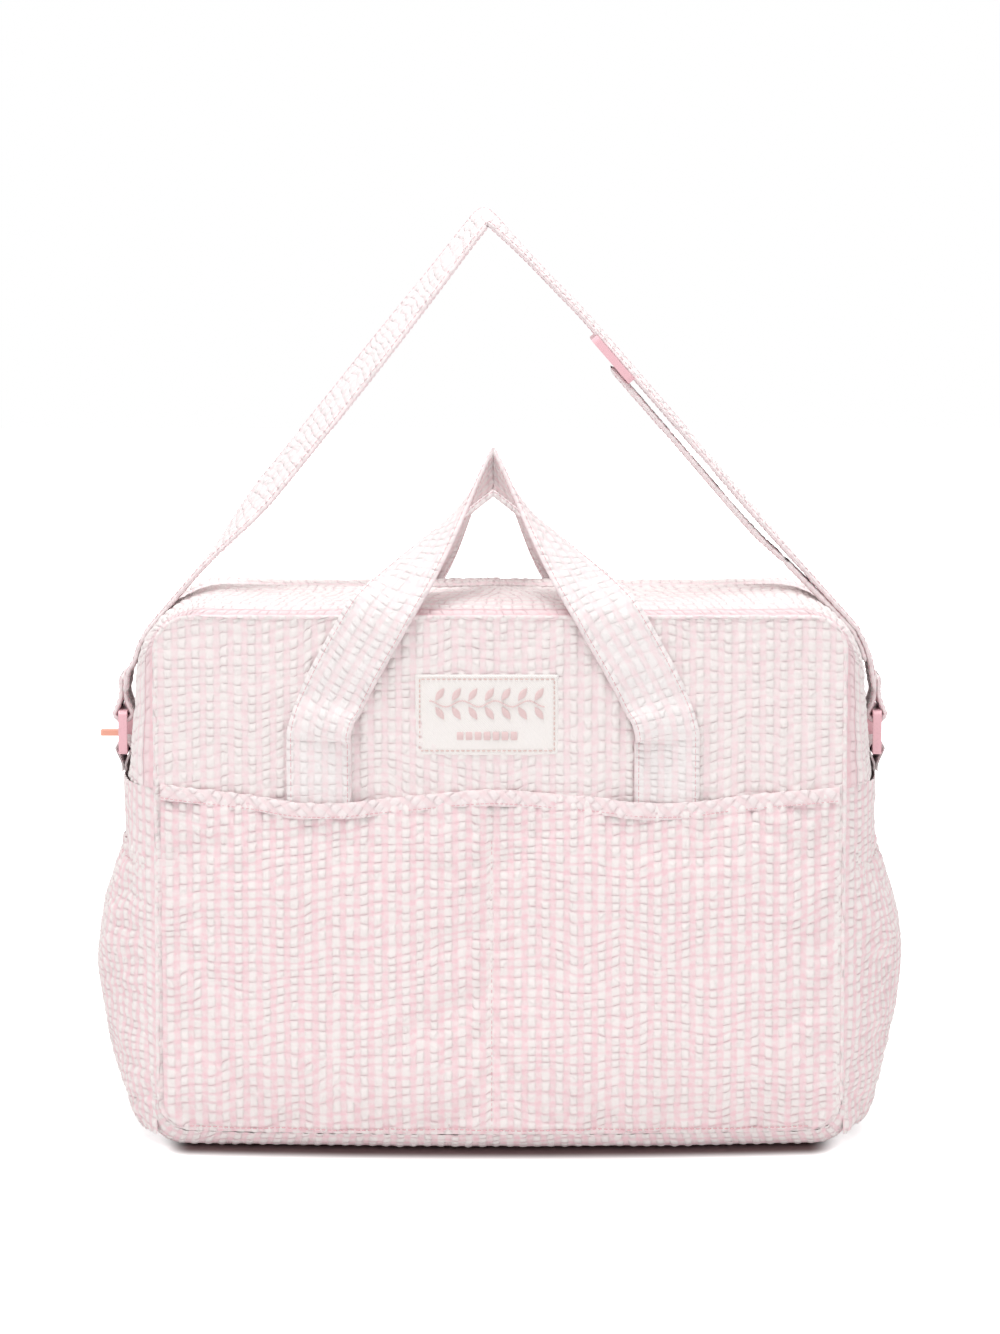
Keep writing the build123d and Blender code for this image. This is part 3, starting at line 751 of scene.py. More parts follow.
def side_panels():
    y = across_strip(-DEPTH, DEPTH)
    z = np.linspace(TURN_Z, SEAM_Z, steps(SEAM_Z - TURN_Z, ROW))
    points = lower_surface(y, z)
    for (side, sheet), across, seed in zip(both_sides(points), (y, y[::-1]), (51, 52)):
        piece = cloth_piece(f"{side}_side_fabric", sheet, across, z[:, None], seed, 0.9)
        dress(piece, STRIPED, "bag_body", nodes=(f"{side}_side_panel",))
    coarse_y = np.linspace(-DEPTH + 0.004, DEPTH - 0.004, 40)
    foam = lower_surface(coarse_y, np.linspace(TURN_Z, SEAM_Z, 50), 0.0030)
    for side, sheet in both_sides(foam):
        dress(grid_mesh(f"{side}_foam_sheet", sheet), FOAM, "bag_body", (f"{side}_side_foam",))


def base_surface():
    """The base panel: across its whole length, turned up at its ends and rolled under the panels."""
    counts = (6, 14, steps(HALF, COLUMN))
    panel = rounded_line(HALF, -PANEL_LOW_Z, PANEL_LOW_RADIUS, -TURN_Z, counts)
    middle = rounded_line(TURN_HALF, 0.0, TURN_RADIUS, -TURN_Z, counts)
    return whole(panel * [1, -1]), whole(middle * [1, -1])


def base():
    """Stripes run from front to back, so rows follow the depth and columns the length."""
    panel, middle = base_surface()
    turn = np.linspace(-1, 1, 90)
    depth = (np.sin(turn * math.pi / 2) * DEPTH)[:, None]
    flatness = smoothstep(TURN_Z - middle[::-1, 1], 0.004, TURN_Z)
    power = SIDE_POWER + (BASE_POWER - SIDE_POWER) * flatness
    share = 1 - np.abs(depth / DEPTH) ** power
    flat = panel[::-1] + (middle - panel)[::-1] * share[..., None]
    points = bowed(surface(flat[..., 0], depth, np.maximum(flat[..., 1], 0.0009))[::-1])
    v = gone_along(points[:, points.shape[1] // 2])[:, None]
    piece = cloth_piece("base_fabric", points, gone_along(middle), v, 61, 0.55)
    dress(piece, STRIPED, "bag_body", nodes=("base_panel",))


def bowed(points):
    """The front and the rear swell along the base, most at its middle, under the bag's load."""
    points = points.copy()
    x, y, z = points[..., 0], points[..., 1], points[..., 2]
    reach = BOW * (1 - np.clip(x / HALF, -1, 1) ** 2) * (1 - smoothstep(z, 0.0, 0.16))
    points[..., 1] = y + reach * np.clip(y / DEPTH, -1, 1)
    return points


def corner_half(z, half=HALF, top=PANEL_TOP, low=PANEL_LOW_Z):
    """Half the width of the panel at height z, with its rounded corners."""
    half = np.full_like(z, half)
    for gap, radius in ((top - z, PANEL_RADIUS), (z - low, PANEL_LOW_RADIUS)):
        near = np.clip(radius - gap, 0, radius)
        half = half - (radius - np.sqrt(radius ** 2 - near ** 2))
    return half


def panel_surface(inset=0.0, crown=0.0020, spacing=(ROW, COLUMN)):
    """The front panel: a softly crowned sheet inside its outline."""
    low, top = PANEL_LOW_Z + inset, PANEL_TOP - inset
    z = np.linspace(low, top, steps(top - low, spacing[0]))[:, None]
    share = np.linspace(-1, 1, steps(2 * HALF, spacing[1]))
    x = corner_half(z, HALF - inset, top, low) * share
    up = 2 * (z - low) / (top - low) - 1
    bow = (1 - np.abs(share) ** 5) * (1 - np.abs(up) ** 5)
    y = FRONT + inset - crown * bow - 0.0007 * bow * noise(x, z, 0.055, 71)
    return bowed(surface(x, y, z))


def panels():
    sheets = zip(both_faces(panel_surface()), both_faces(panel_surface(FOAM_DEPTH, 0.0, COARSE)), (73, 77))
    for (name, points), (name, foam), seed in sheets:
        piece = cloth_piece(f"{name}_fabric", points, points[..., 0], points[..., 2], seed)
        dress(piece, PALE, "bag_body", nodes=(f"{name}_panel",))
        dress(grid_mesh(f"{name}_foam_sheet", foam), FOAM, "bag_body", (f"{name}_foam",))


def tube(line, radius, around=10):
    """A round tube along a line, with its ends drawn in."""
    along = direction_of(line)
    side = np.cross(along, np.array([0, 1.0, 0]))
    side = side / np.maximum(np.linalg.norm(side, axis=1, keepdims=True), 1e-9)
    other = np.cross(along, side)
    angle = np.linspace(0, 2 * math.pi, around + 1)
    points = (line[:, None] + radius * side[:, None] * np.cos(angle)[:, None]
              - radius * other[:, None] * np.sin(angle)[:, None])
    return points, gone_along(line)[:, None], angle * radius


def panel_seams():
    """The raised seam round each panel's sides and top."""
    quarter = rounded_line(HALF, PANEL_TOP, PANEL_RADIUS, PANEL_LOW_Z + PANEL_LOW_RADIUS, (90, 24, 110))
    line = whole(quarter)
    line = spaced(surface(line[:, 0], FRONT + 0.0002, line[:, 1]), COLUMN)
    for name, flip in (("front", 1), ("rear", -1)):
        points, u, v = tube(line * np.array([1, flip, 1]), 0.0014)
        piece = cloth_piece(f"{name}_seam", points, u, v, 81, 0.35)
        dress(piece, PALE, "bag_body")


# Lining -------------------------------------------------------------------------

def soft_sheet(name, points, seed, nodes, body="bag_body"):
    """A plain lining sheet with loose, shallow wrinkles."""
    across, up = points[..., 0] + points[..., 1], points[..., 2] + 0.3 * points[..., 1]
    wrinkle = 0.0008 * noise(across, up, 0.030, seed) + 0.0003 * noise(across, up, 0.011, seed + 1)
    piece = grid_mesh(name, lifted(points, wrinkle))
    return dress(piece, LINING, body, nodes=nodes)


def linings():
    inside = both_faces(panel_surface(LINING_DEPTH + 0.0004, 0.0, COARSE))
    for (name, sheet), seed in zip(inside, (91, 93)):
        soft_sheet(f"{name}_lining_cloth", sheet[:, ::-1], seed, (f"{name}_lining",))
    y = np.linspace(-DEPTH + LINING_DEPTH, DEPTH - LINING_DEPTH, 44)
    z = np.linspace(LINING_DEPTH, SEAM_Z, 50)
    for (side, sheet), seed in zip(both_sides(lower_surface(y, z, LINING_DEPTH)), (95, 97)):
        soft_sheet(f"{side}_lining_cloth", sheet[:, ::-1], seed, (f"{side}_side_lining",))
    floor = surface(np.linspace(-HALF, HALF, 100), y[:, None], LINING_DEPTH + 0.0006)
    soft_sheet("base_lining_cloth", floor, 99, ("base_lining",))
    strips = {"front": (FLAP_HINGE_Y, ZIP_Y - ZIP_HALF_SLOT), "rear": (ZIP_Y + ZIP_HALF_SLOT, -FLAP_HINGE_Y)}
    for name, (low, high) in strips.items():
        for side, points in both_sides(upper_surface(np.linspace(low, high, 24), 0.0050)[0]):
            nodes = (f"{name}_flap_lining",) if side == "right" else ()
            piece = soft_sheet(f"{name}_{side}_flap_lining_cloth", points[:, ::-1], 101, nodes, None)
            blend_flap(piece)


def slab(name, lows, highs, radius=0.0012):
    """A soft-edged flat piece that fills a box, with its faces slightly uneven."""
    low, high = np.array(lows), np.array(highs)
    middle, half = (low + high) / 2, (high - low) / 2
    thin = int(np.argmin(half))
    wide = [axis for axis in range(3) if axis != thin]
    if (wide[1] - wide[0]) % 2 == 0:
        wide = wide[::-1]
    first = np.sin(np.linspace(-1, 1, 48) * math.pi / 2) * half[wide[0]]
    second = np.sin(np.linspace(-1, 1, 32) * math.pi / 2) * half[wide[1]]
    a, b = np.meshgrid(first, second)
    inside = np.minimum(half[wide[0]] - np.abs(a), half[wide[1]] - np.abs(b))
    thick = half[thin] * np.sqrt(np.clip(inside / radius, 0, 1)) + 0.0002 * noise(a, b, 0.03, 201)
    sheets = []
    for sign in (1, -1):
        points = np.zeros(a.shape + (3,))
        points[..., wide[0]], points[..., wide[1]], points[..., thin] = a, b, sign * thick
        sheets.append((points + middle)[:, ::sign])
    return grid_mesh(name, np.concatenate([sheets[0], sheets[1][::-1, ::-1]], 0))


def hidden_pieces():
    """The stiff board in the base, the slip pocket on the rear lining and the tabs at the zip's ends."""
    low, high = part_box("base_board")
    dress(slab("base_board_sheet", low, high), BOARD, "bag_body", ("base_board",))
    low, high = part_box("inner_pocket")
    x, z = np.meshgrid(np.linspace(low.x, high.x, 90), np.linspace(low.z, high.z, 60))
    side = 1 - np.abs(2 * (x - low.x) / (high.x - low.x) - 1) ** 8
    up = smoothstep(z, low.z, low.z + 0.020)
    y = high.y - (high.y - low.y) * side * up + 0.0005 * noise(x, z, 0.03, 203)
    pocket = grid_mesh("slip_pocket_cloth", np.stack([x, y, z], -1))
    dress(pocket, LINING, "bag_body", ("inner_pocket",))
    low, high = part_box("zip_end_tabs")
    for side, sign in (("right", 1), ("left", -1)):
        near, far = (high.x - 0.0020, high.x) if sign > 0 else (low.x, low.x + 0.0020)
        tab = slab(f"{side}_zip_end_tab", (near, low.y, low.z), (far, high.y, high.z), 0.0008)
        dress(tab, TAPE, "bag_body", ("zip_end_tabs",) if sign > 0 else ())


# Pockets ------------------------------------------------------------------------

POCKET_HALF = HALF - 0.003
LIP_RISE = ((-0.197, 0.0092), (-0.150, 0.0040), (-0.1057, -0.0012), (-0.050, 0.0028), (-0.005, 0.0062),
            (0.045, 0.0028), (0.0957, -0.0012), (0.150, 0.0038), (0.197, 0.0074))
HANDLE_REACH = 0.1007
POCKET_CAP = 0.0125
POCKET_GAP = 0.0030
POCKET_GATHER = 0.0066     # from one small fold under the binding to the next
BINDING_HIGH = 0.0085


def lip_height(x):
    """The pocket's top edge: highest at its ends and centre seam, lowest in front of the handles."""
    return POCKET_TOP + read_off(x, LIP_RISE)


def lip_y(x):
    """The pocket's top edge stands a little off the panel, and further where a handle passes behind."""
    handle = np.zeros_like(x)
    for side in (-1, 1):
        handle = np.maximum(handle, 1 - smoothstep(np.abs(x - CENTRE_X - side * HANDLE_REACH), 0.018, 0.036))
    sag = 0.0016 * np.sin(math.pi * np.clip((x + POCKET_HALF) / (2 * POCKET_HALF), 0, 1) * 2) ** 2
    free = smoothstep(POCKET_HALF - np.abs(x), 0.0, 0.014)
    return FRONT - 0.0004 - free * (POCKET_GAP + sag + 0.0030 * handle)


def pocket_surface():
    """The front pocket, blown out by cloth simulation between its side, base and centre seams."""
    rows, cols = 42, 86
    share = np.linspace(0, 1, rows)[:, None]
    x = np.linspace(-POCKET_HALF, POCKET_HALF, cols)
    middle = int(np.argmin(np.abs(x - CENTRE_X)))
    x[middle] = CENTRE_X
    z = POCKET_LOW + (lip_height(x) - POCKET_LOW) * share
    free = smoothstep(POCKET_HALF - np.abs(x), 0.0, 0.005) * smoothstep(z - POCKET_LOW, -0.002, 0.004)
    x = x * corner_half(z) / HALF
    rest = FRONT - 0.0004 - POCKET_GAP * free
    rest = rest + (lip_y(x) - rest) * share ** 3
    rest = rest - 0.0001 * noise(x, z, 0.012, 111)
    flat = surface(x, rest, z)
    pinned = np.zeros(z.shape, bool)
    pinned[0] = pinned[-1] = True
    pinned[:, [0, -1, middle]] = True
    blown = inflated(flat, pinned, 1.6, 0.020)
    bulge = blown[..., 1] - flat[..., 1]
    blown[..., 1] = flat[..., 1] + POCKET_CAP * np.tanh(bulge / POCKET_CAP)
    return refined(blown, steps(POCKET_TOP - POCKET_LOW, ROW), steps(2 * POCKET_HALF, COLUMN))


def front_pocket():
    points = pocket_surface()
    points[..., 1] += 0.0012 * np.exp(-((points[..., 0] - CENTRE_X) / 0.0016) ** 2)
    below = points[-1:, :, 2] - BINDING_HIGH - points[..., 2]
    shift = 0.006 * noise(points[..., 0], points[..., 2], 0.04, 115)
    ripple = np.sin(2 * math.pi * (points[..., 0] + shift) / POCKET_GATHER)
    points[..., 1] -= 0.00055 * ripple * np.exp(-np.clip(below, 0, 1) / 0.009)
    points = bowed(points)
    calm = 0.50 + 0.50 * smoothstep(points[..., 2], 0.05, POCKET_TOP)
    piece = cloth_piece("front_pocket_cloth", points, points[..., 0], points[..., 2], 113, calm)
    dress(piece, STRIPED, "bag_body", nodes=("front_pocket",))
    return points


def pocket_binding():
    """A bias-cut strip folded over the pocket's top edge."""
    profile = ((-0.0017, -0.0086), (-0.0021, -0.0070), (-0.0021, -0.0030), (-0.0017, -0.0008),
               (-0.0008, 0.0004), (0.0003, 0.0005), (0.0010, -0.0006), (0.0013, -0.0030), (0.0012, -0.0085))
    section = curve_through(profile, 22)
    x = np.linspace(-POCKET_HALF, POCKET_HALF, steps(2 * POCKET_HALF, 0.00125))
    ripple = 0.0005 * noise(x, x * 0, 0.012, 121)
    y = lip_y(x) + section[:, :1] + ripple
    z = lip_height(x) + section[:, 1:] * (1 + 0.10 * noise(x, x * 0, 0.02, 123))
    around = gone_along(section)[:, None]
    u, v = (x + around) * math.sqrt(0.5), (x - around) * math.sqrt(0.5)
    piece = cloth_piece("pocket_binding", surface(x, y, z), u, v, 125, 0.45)
    dress(piece, BINDING, "bag_body", nodes=("front_pocket_binding",))
    return stitch_row(surface(x, lip_y(x) - 0.0024, lip_height(x) - 0.0072), (0, -1, 0), pitch=0.0028)


SIDE_KNOTS = ((0.008, 0.2190), (0.016, 0.2225), (0.025, 0.2255), (0.035, 0.2288), (0.054, 0.2332),
              (0.083, 0.2375), (0.112, 0.2390), (0.131, 0.2362), (0.150, 0.2305), (0.169, 0.2245),
              (0.178, 0.2248))
SIDE_SEAM_Y = 0.081
SIDE_PUSH = 0.0022
SIDE_FLAT_HALF = 0.106     # half the width and the height of the side pocket's cloth, laid flat
SIDE_FLAT_HIGH = 0.186
HEM_ROWS = 8               # rows of points folded in at the hem
SIDE_GATHER = 0.0088       # from one gather of the elastic to the next


def side_pocket_surface(seed):
    """A bulging pocket gathered by an elastic at its top. The right one."""
    rows, cols = 46, 44
    z = np.linspace(SIDE_KNOTS[0][0], HEM_Z, rows)[:, None]
    y = np.linspace(-SIDE_SEAM_Y, SIDE_SEAM_Y, cols)
    share = 1 - np.abs(y / SIDE_SEAM_Y) ** 3
    seam = HALF + 0.0012
    x = seam + (read_off(z, SIDE_KNOTS) - SIDE_PUSH - seam) * share
    flat = surface(x + 0.0001 * noise(y, z, 0.012, seed), y, z)
    blown = flat.copy()
    pinned = np.zeros(x.shape, bool)
    pinned[[0, -1]] = True
    pinned[:, [0, -1]] = True
    moved = inflated(flat, pinned, 1.2, 0.030) - flat
    size = np.linalg.norm(moved, axis=-1, keepdims=True)
    blown = flat + moved * (SIDE_PUSH * 1.6 * np.tanh(size / SIDE_PUSH / 1.6) / np.maximum(size, 1e-9))
    fine = refined(blown, steps(HEM_Z - SIDE_KNOTS[0][0], ROW), steps(2 * SIDE_SEAM_Y + 0.05, COLUMN))
    y, z = fine[..., 1], fine[..., 2]
    below = HEM_Z - z
    out = np.abs(y / SIDE_SEAM_Y)
    wave_y = y + 0.004 * noise(y, z, 0.03, seed + 1)
    gather = 0.0014 * np.sin(2 * math.pi * wave_y / SIDE_GATHER) * np.exp(-below / 0.022) * (1 - out ** 6)
    fold = 0.0024 * noise(y, z * 0.45, 0.021, seed + 2) * (1 - out ** 4) * np.clip(below / 0.03, 0, 1)
    pinch = -0.0011 * np.exp(-((below - 0.0100) / 0.0016) ** 2) * (1 - out ** 8)
    return lifted(fine, gather + fold + pinch)


def side_pockets():
    rows = []
    for side, sign, seed in (("right", 1, 131), ("left", -1, 141)):
        points = side_pocket_surface(seed)
        if side == "left":
            points = mirrored(points)
        across = np.linspace(-SIDE_FLAT_HALF, SIDE_FLAT_HALF, points.shape[1]) * sign
        up = np.linspace(0, SIDE_FLAT_HIGH, len(points))[:, None]
        piece = cloth_piece(f"{side}_pocket_cloth", points, across, up, seed + 3, 1.05)
        dress(piece, STRIPED, "bag_body", nodes=(f"{side}_side_pocket",))
        inner = points[-HEM_ROWS:] - np.array([sign * 0.0020, 0, 0])
        top = points[-1:] + np.array([-sign * 0.0009, 0, 0.0006])
        turn_in = np.concatenate([top, inner[::-1]], 0)
        over = SIDE_FLAT_HIGH + np.linspace(0, 0.011, len(turn_in))[:, None]
        band = cloth_piece(f"{side}_pocket_hem", turn_in, across, over, seed + 5, 0.4)
        dress(band, STRIPED, "bag_body", nodes=(f"{side}_pocket_elastic",))
        hem_row = points[-HEM_ROWS] + np.array([sign * 0.0008, 0, 0])
        rows += stitch_row(hem_row[4:-4], (sign, 0, 0), pitch=0.0032)
    return rows


# Straps -------------------------------------------------------------------------

def strap_surface(line, across, wide, thick):
    """A closed flat strap with rounded edges, along a line. across is its width's direction."""
    along = direction_of(line)
    across = across - along * (across * along).sum(1, keepdims=True)
    across = across / np.linalg.norm(across, axis=1, keepdims=True)
    out = np.cross(along, across)
    count = steps(wide, COLUMN)
    place = np.linspace(1, -1, count)
    place = np.sin(place * math.pi / 2) * 0.25 + place * 0.75
    swell = np.sqrt(np.clip(1 - np.abs(place) ** 12, 0, 1))
    reach = np.concatenate([place, -place[1:]])
    lift = np.concatenate([swell, -swell[1:]])
    ends = np.ones(len(line))
    ends[[0, -1]] = 0.05
    ends[[1, -2]] = 0.7
    points = (line[:, None] + across[:, None] * (reach * wide / 2)[:, None]
              + out[:, None] * (lift * thick / 2)[:, None] * ends[:, None, None])
    u, v = np.meshgrid(reach * wide / 2, gone_along(line))
    return points, u, v, across, out


def strap(name, line, across, seed, nodes=(), body=None, carried=None, wide=STRAP_WIDE, thick=STRAP_THICK,
          strength=0.5, shift=0.0, sewing=None):
    """A seersucker strap, and a row of stitching along each edge of both faces if sewing names it.

    It rides on a body. If carried is given, as (body, body, start, end), the pieces' transforms are baked
    into their meshes; its bodies and heights are not used.
    """
    points, u, v, across, out = strap_surface(line, across, wide, thick)
    sewn = wide / 2 - SEWN_IN
    edge = np.exp(-((np.abs(u) - sewn) / 0.0008) ** 2)
    rim = smoothstep(wide / 2 - np.abs(u), 0.0, 0.0035)
    height, phase = pucker(u + shift, v, seed, strength)
    points = lifted(points, height * rim - 0.0003 * edge)
    cloth = grid_mesh(name, points, np.stack([u + shift, v], -1), phase)
    pieces = [dress(cloth, STRAP_CLOTH, body, nodes=nodes)]
    if sewing:
        rows = []
        for side in (-1, 1):
            for face in (-1, 1):
                row = line + across * (side * sewn) + out * (face * (thick / 2 + 0.0001))
                rows += stitch_row(row[2:-2], out[2:-2] * face, pitch=0.0036, radius=0.00018)
        pieces.append(dress(join(sewing, rows), SALMON, body))
    if carried:
        for piece in pieces:
            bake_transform(piece)


HANDLE_OFF = 0.0043        # from the panel's plane to the middle of a handle's sewn end
HANDLE_X = CENTRE_X + 0.0010
HANDLE_END = 0.1920        # the sewn end's lower edge, behind the pocket
HANDLE_FREE = handle_low.z - 0.0055
HALF_LOOP = 0.2090         # the strap's length from there to its apex, before it is pulled
APEX_INNER = np.array([0, FRONT + 0.054, 0.4087])    # the strap's two edges where the handle is held up
APEX_OUTER = np.array([0, FRONT + 0.081, 0.3815])
HANDLE_KNEE = 0.42         # share of the way at which the strap leaves the panel's top edge
LEG_ROWS = 56
LEG_COLS = 5
SETTLE_PASSES = 260
SETTLE_TIES = 12
BEND_STIFF = 0.05
LEG_BULGE = 0.0135         # how far a leg may stand off the panel
REAR_NARROW = 0.22         # shares by which the rear handle's loop is narrower and lower at its top
REAR_LOWER = 0.035
REAR_NARROWED = 0.345      # the height where it has drawn in


def settled_leg():
    """Half of a handle, from its sewn end to its apex, as rows from its inner to its outer edge.

    It is sewn flat to the panel, held up by its apex and kept off the bag, while ties between its points
    pull it back to its size. It settles about 3% longer than HALF_LOOP.
    """
    spacing = HALF_LOOP / (LEG_ROWS - 1)
    across = np.linspace(-STRAP_WIDE / 2, STRAP_WIDE / 2, LEG_COLS)
    share = (across / STRAP_WIDE + 0.5)[:, None]
    front = np.full(LEG_COLS, FRONT - HANDLE_OFF)
    foot = np.stack([HANDLE_REACH + across, front, np.full(LEG_COLS, HANDLE_FREE)], 1)
    knee = np.stack([0.62 * HANDLE_REACH + 0.87 * across, front - 0.008, PANEL_TOP + 0.5 * across], 1)
    apex = APEX_INNER * (1 - share) + APEX_OUTER * share
    way = np.linspace(0, 1, LEG_ROWS)[:, None, None]
    below = foot + (knee - foot) * way / HANDLE_KNEE
    above = knee + (apex - knee) * (way - HANDLE_KNEE) / (1 - HANDLE_KNEE)
    leg = np.where(way < HANDLE_KNEE, below, above)
    leg[1] = foot + np.array([0, 0, spacing])
    free = np.ones((LEG_ROWS, LEG_COLS, 1))
    free[:2] = free[-1] = 0
    ties = ((1, 0, 1.0), (0, 1, 1.0), (1, 1, 0.8), (1, -1, 0.8), (0, LEG_COLS - 1, 1.0), (2, 0, BEND_STIFF),
            (4, 0, BEND_STIFF))
    face, roof = FRONT - 0.0035, PANEL_TOP + 0.007
    before = leg.copy()
    for _ in range(SETTLE_PASSES):
        before, leg = leg, leg + ((leg - before) * 0.9 - np.array([0, 0, 0.00001])) * free
        for _ in range(SETTLE_TIES):
            for down, aside, stiff in ties:
                first = (slice(0, LEG_ROWS - down), slice(max(0, -aside), LEG_COLS - max(0, aside)))
                second = (slice(down, LEG_ROWS), slice(max(0, aside), LEG_COLS - max(0, -aside)))
                gap = leg[second] - leg[first]
                size = np.linalg.norm(gap, axis=-1, keepdims=True)
                rest = math.hypot(down * spacing, aside * STRAP_WIDE / (LEG_COLS - 1))
                pull = gap * (0.5 * stiff * (size - rest) / size) / np.maximum(free[first] + free[second], 1)
                leg[first] += pull * free[first]
                leg[second] -= pull * free[second]
            leg[..., 0] = np.maximum(leg[..., 0], 0)
            leg[..., 1] = np.maximum(leg[..., 1], FRONT - LEG_BULGE)
            loose = (leg[..., 1] > face) & (leg[..., 2] < roof) & (free[..., 0] > 0)
            nearer = leg[..., 1] - face < roof - leg[..., 2]
            leg[..., 1] = np.where(loose & nearer, face, leg[..., 1])
            leg[..., 2] = np.where(loose & ~nearer, roof, leg[..., 2])
    return leg


def handle_line(leg, narrow=0.0, lower=0.0):
    """A whole handle as its middle line and its width's direction, from one sewn end to the other."""
    rise = smoothstep(leg[..., 2], HANDLE_FREE, REAR_NARROWED)
    leg = leg.copy()
    leg[..., 0] *= 1 - narrow * rise
    leg[..., 2] -= lower * (leg[..., 2] - HANDLE_FREE)
    sewn = np.repeat(leg[:1], 12, axis=0)
    sewn[..., 2] = np.linspace(HANDLE_END, HANDLE_FREE - 0.004, 12)[:, None]
    right = np.concatenate([sewn, leg])
    left = right * np.array([-1, 1, 1])
    strip = np.concatenate([left, right[-2::-1]])
    middle = strip.mean(axis=1) + np.array([HANDLE_X, 0, 0])
    return spaced(curve_through(np.hstack([middle, strip[:, -1] - strip[:, 0]]), 900), ROW)


def handles():
    leg = settled_leg()
    for name, flip, seed in (("front", 1, 151), ("rear", -1, 157)):
        both = handle_line(leg) if flip > 0 else handle_line(leg, REAR_NARROW, REAR_LOWER)
        turn = np.array([1, flip, 1])
        line, across = both[:, :3] * turn, both[:, 3:] * turn
        if flip < 0:
            line, across = line[::-1], across[::-1]
        bend = ("bag_body", f"{name}_handle", (0, 0, HANDLE_FREE), (0, 0, HANDLE_FREE + 0.010))
        strap(f"{name}_handle_cloth", line, across, seed, (f"{name}_handle", f"{name}_handle_ends"),
              carried=bend, shift=STRIPE_SHIFT, sewing=f"{name}_handle_stitching")


STRAP_LIFT = 0.0042        # the strap's middle over the corner of the gusset's solid
CORNER_X = 0.164
CORNER_Z = 0.268
CORNER_RADIUS = 0.050
CORNER_DEGREES = (14, 24, 32, 39)
APEX_X = -0.008
FOOT_Z = 0.324             # where a leg leaves the bag's corner
ADJUSTER_AT = 0.180
LAYER_OFF = 0.0039         # from the adjuster's middle to each layer's middle
DOUBLE_OFF = 0.0028
LEG_TWIST = math.radians(21)
RETURN_SPLIT = 0.340       # the strap's second layer is made as two pieces, split at this height
STRAP_BEND = ("bag_body", "shoulder_strap", (0, 0, 0.314), (0, 0, 0.334))    # two bodies and two heights, passed as carried; strap() does not read them


def corner_points(side, lift):
    points = [(side * (RING_X - 0.0010), STRAP_Y, 0.262), (side * (RING_X - 0.0028), STRAP_Y, 0.2735)]
    for degrees in CORNER_DEGREES:
        angle = math.radians(degrees)
        radius = CORNER_RADIUS + lift
        points.append((side * (CORNER_X + radius * math.cos(angle)), STRAP_Y,
                       CORNER_Z + radius * math.sin(angle)))
    return points


def leg_frame(side):
    """A free leg of the shoulder strap: its foot, its direction and the direction out of the bag."""
    angle = math.radians(CORNER_DEGREES[-1])
    radius = CORNER_RADIUS + 0.0022
    x = side * (CORNER_X + radius * math.cos(angle))
    z = CORNER_Z + radius * math.sin(angle)
    apex_z = STRAP_APEX_Z + 0.0015
    share = (FOOT_Z - z) / (apex_z - z)
    foot = np.array([x + share * (APEX_X - x), STRAP_Y, FOOT_Z])
    apex = np.array([APEX_X, STRAP_Y, apex_z])
    along = (apex - foot) / np.linalg.norm(apex - foot)
    out = np.array([side * along[2], 0, -side * along[0]])
    return foot, along, out, float(np.linalg.norm(apex - foot))


def along_leg(side, *stations):
    """Points of a leg, each given by its distance from the foot and its distance out of the bag."""
    foot, along, out = leg_frame(side)[:3]
    return [tuple(foot + along * distance + out * lift) for distance, lift in stations]


def straight_back(line):
    return np.broadcast_to(np.array([0, 1.0, 0]), line.shape)


def twisted(line, angles):
    """The strap's width direction, turned about the line from straight back by an angle at each point."""
    back = straight_back(line)
    out = np.cross(direction_of(line), back)
    return back * np.cos(angles)[:, None] + out * np.sin(angles)[:, None]


def shoulder_strap():
    """The long strap over both corners, with a second layer from the right corner to the adjuster."""
    full_left = leg_frame(-1)[3]
    full = leg_frame(1)[3]
    sag = [(share * full_left, -0.0012 * math.sin(share * math.pi)) for share in (0.2, 0.5, 0.8)]
    left = along_leg(-1, (0.012, 0.0006), *sag, (full_left - 0.012, 0.0))
    right = along_leg(1, (full - 0.012, 0.0), (ADJUSTER_AT + 0.050, 0.0028), (ADJUSTER_AT + 0.026, LAYER_OFF),
                      (ADJUSTER_AT - 0.026, LAYER_OFF), (ADJUSTER_AT - 0.070, LAYER_OFF), (0.030, LAYER_OFF))
    points = corner_points(-1, STRAP_LIFT) + left + [(APEX_X, STRAP_Y, STRAP_APEX_Z - 0.0010)]
    points += right + corner_points(1, STRAP_LIFT + DOUBLE_OFF)[::-1]
    line = spaced(curve_through(points, 900), ROW)
    height = line[:, 2]
    on_left = line[:, 0] < APEX_X
    rise = smoothstep(height, 0.330, 0.385) * np.where(on_left, 1.0, 0.16)
    easing = 1 - 0.25 * smoothstep(height, 0.45, STRAP_APEX_Z)
    near_apex = smoothstep(line[:, 0], APEX_X - 0.030, APEX_X + 0.030)
    angles = LEG_TWIST * easing * (smoothstep(height, 0.330, 0.385) * (1 - near_apex) + rise * near_apex)
    strap("shoulder_strap_cloth", line, twisted(line, angles), 161,
          ("shoulder_strap", "left_strap_riser", "right_strap_riser"),
          carried=STRAP_BEND, shift=STRIPE_SHIFT, sewing="shoulder_strap_stitching")

    inner = along_leg(1, (0.020, -0.0010), (0.050, -LAYER_OFF), (ADJUSTER_AT - 0.070, -LAYER_OFF),
                      (ADJUSTER_AT - 0.004, -LAYER_OFF))
    line = spaced(curve_through(corner_points(1, STRAP_LIFT)[2:] + inner, 300), ROW)
    split = int(np.searchsorted(line[:, 2], RETURN_SPLIT))
    slides = ("shoulder_strap", "strap_adjuster", *along_leg(1, (0.024, 0.0), (ADJUSTER_AT - 0.016, 0.0)))
    parts = (("corner", line[:split + 1], (), STRAP_BEND), ("leg", line[split:], ("strap_return",), slides))
    for name, part, nodes, carried in parts:
        strap(f"strap_return_{name}", part, straight_back(part), 167, nodes, carried=carried,
              shift=STRIPE_SHIFT, sewing=f"strap_return_{name}_stitching")


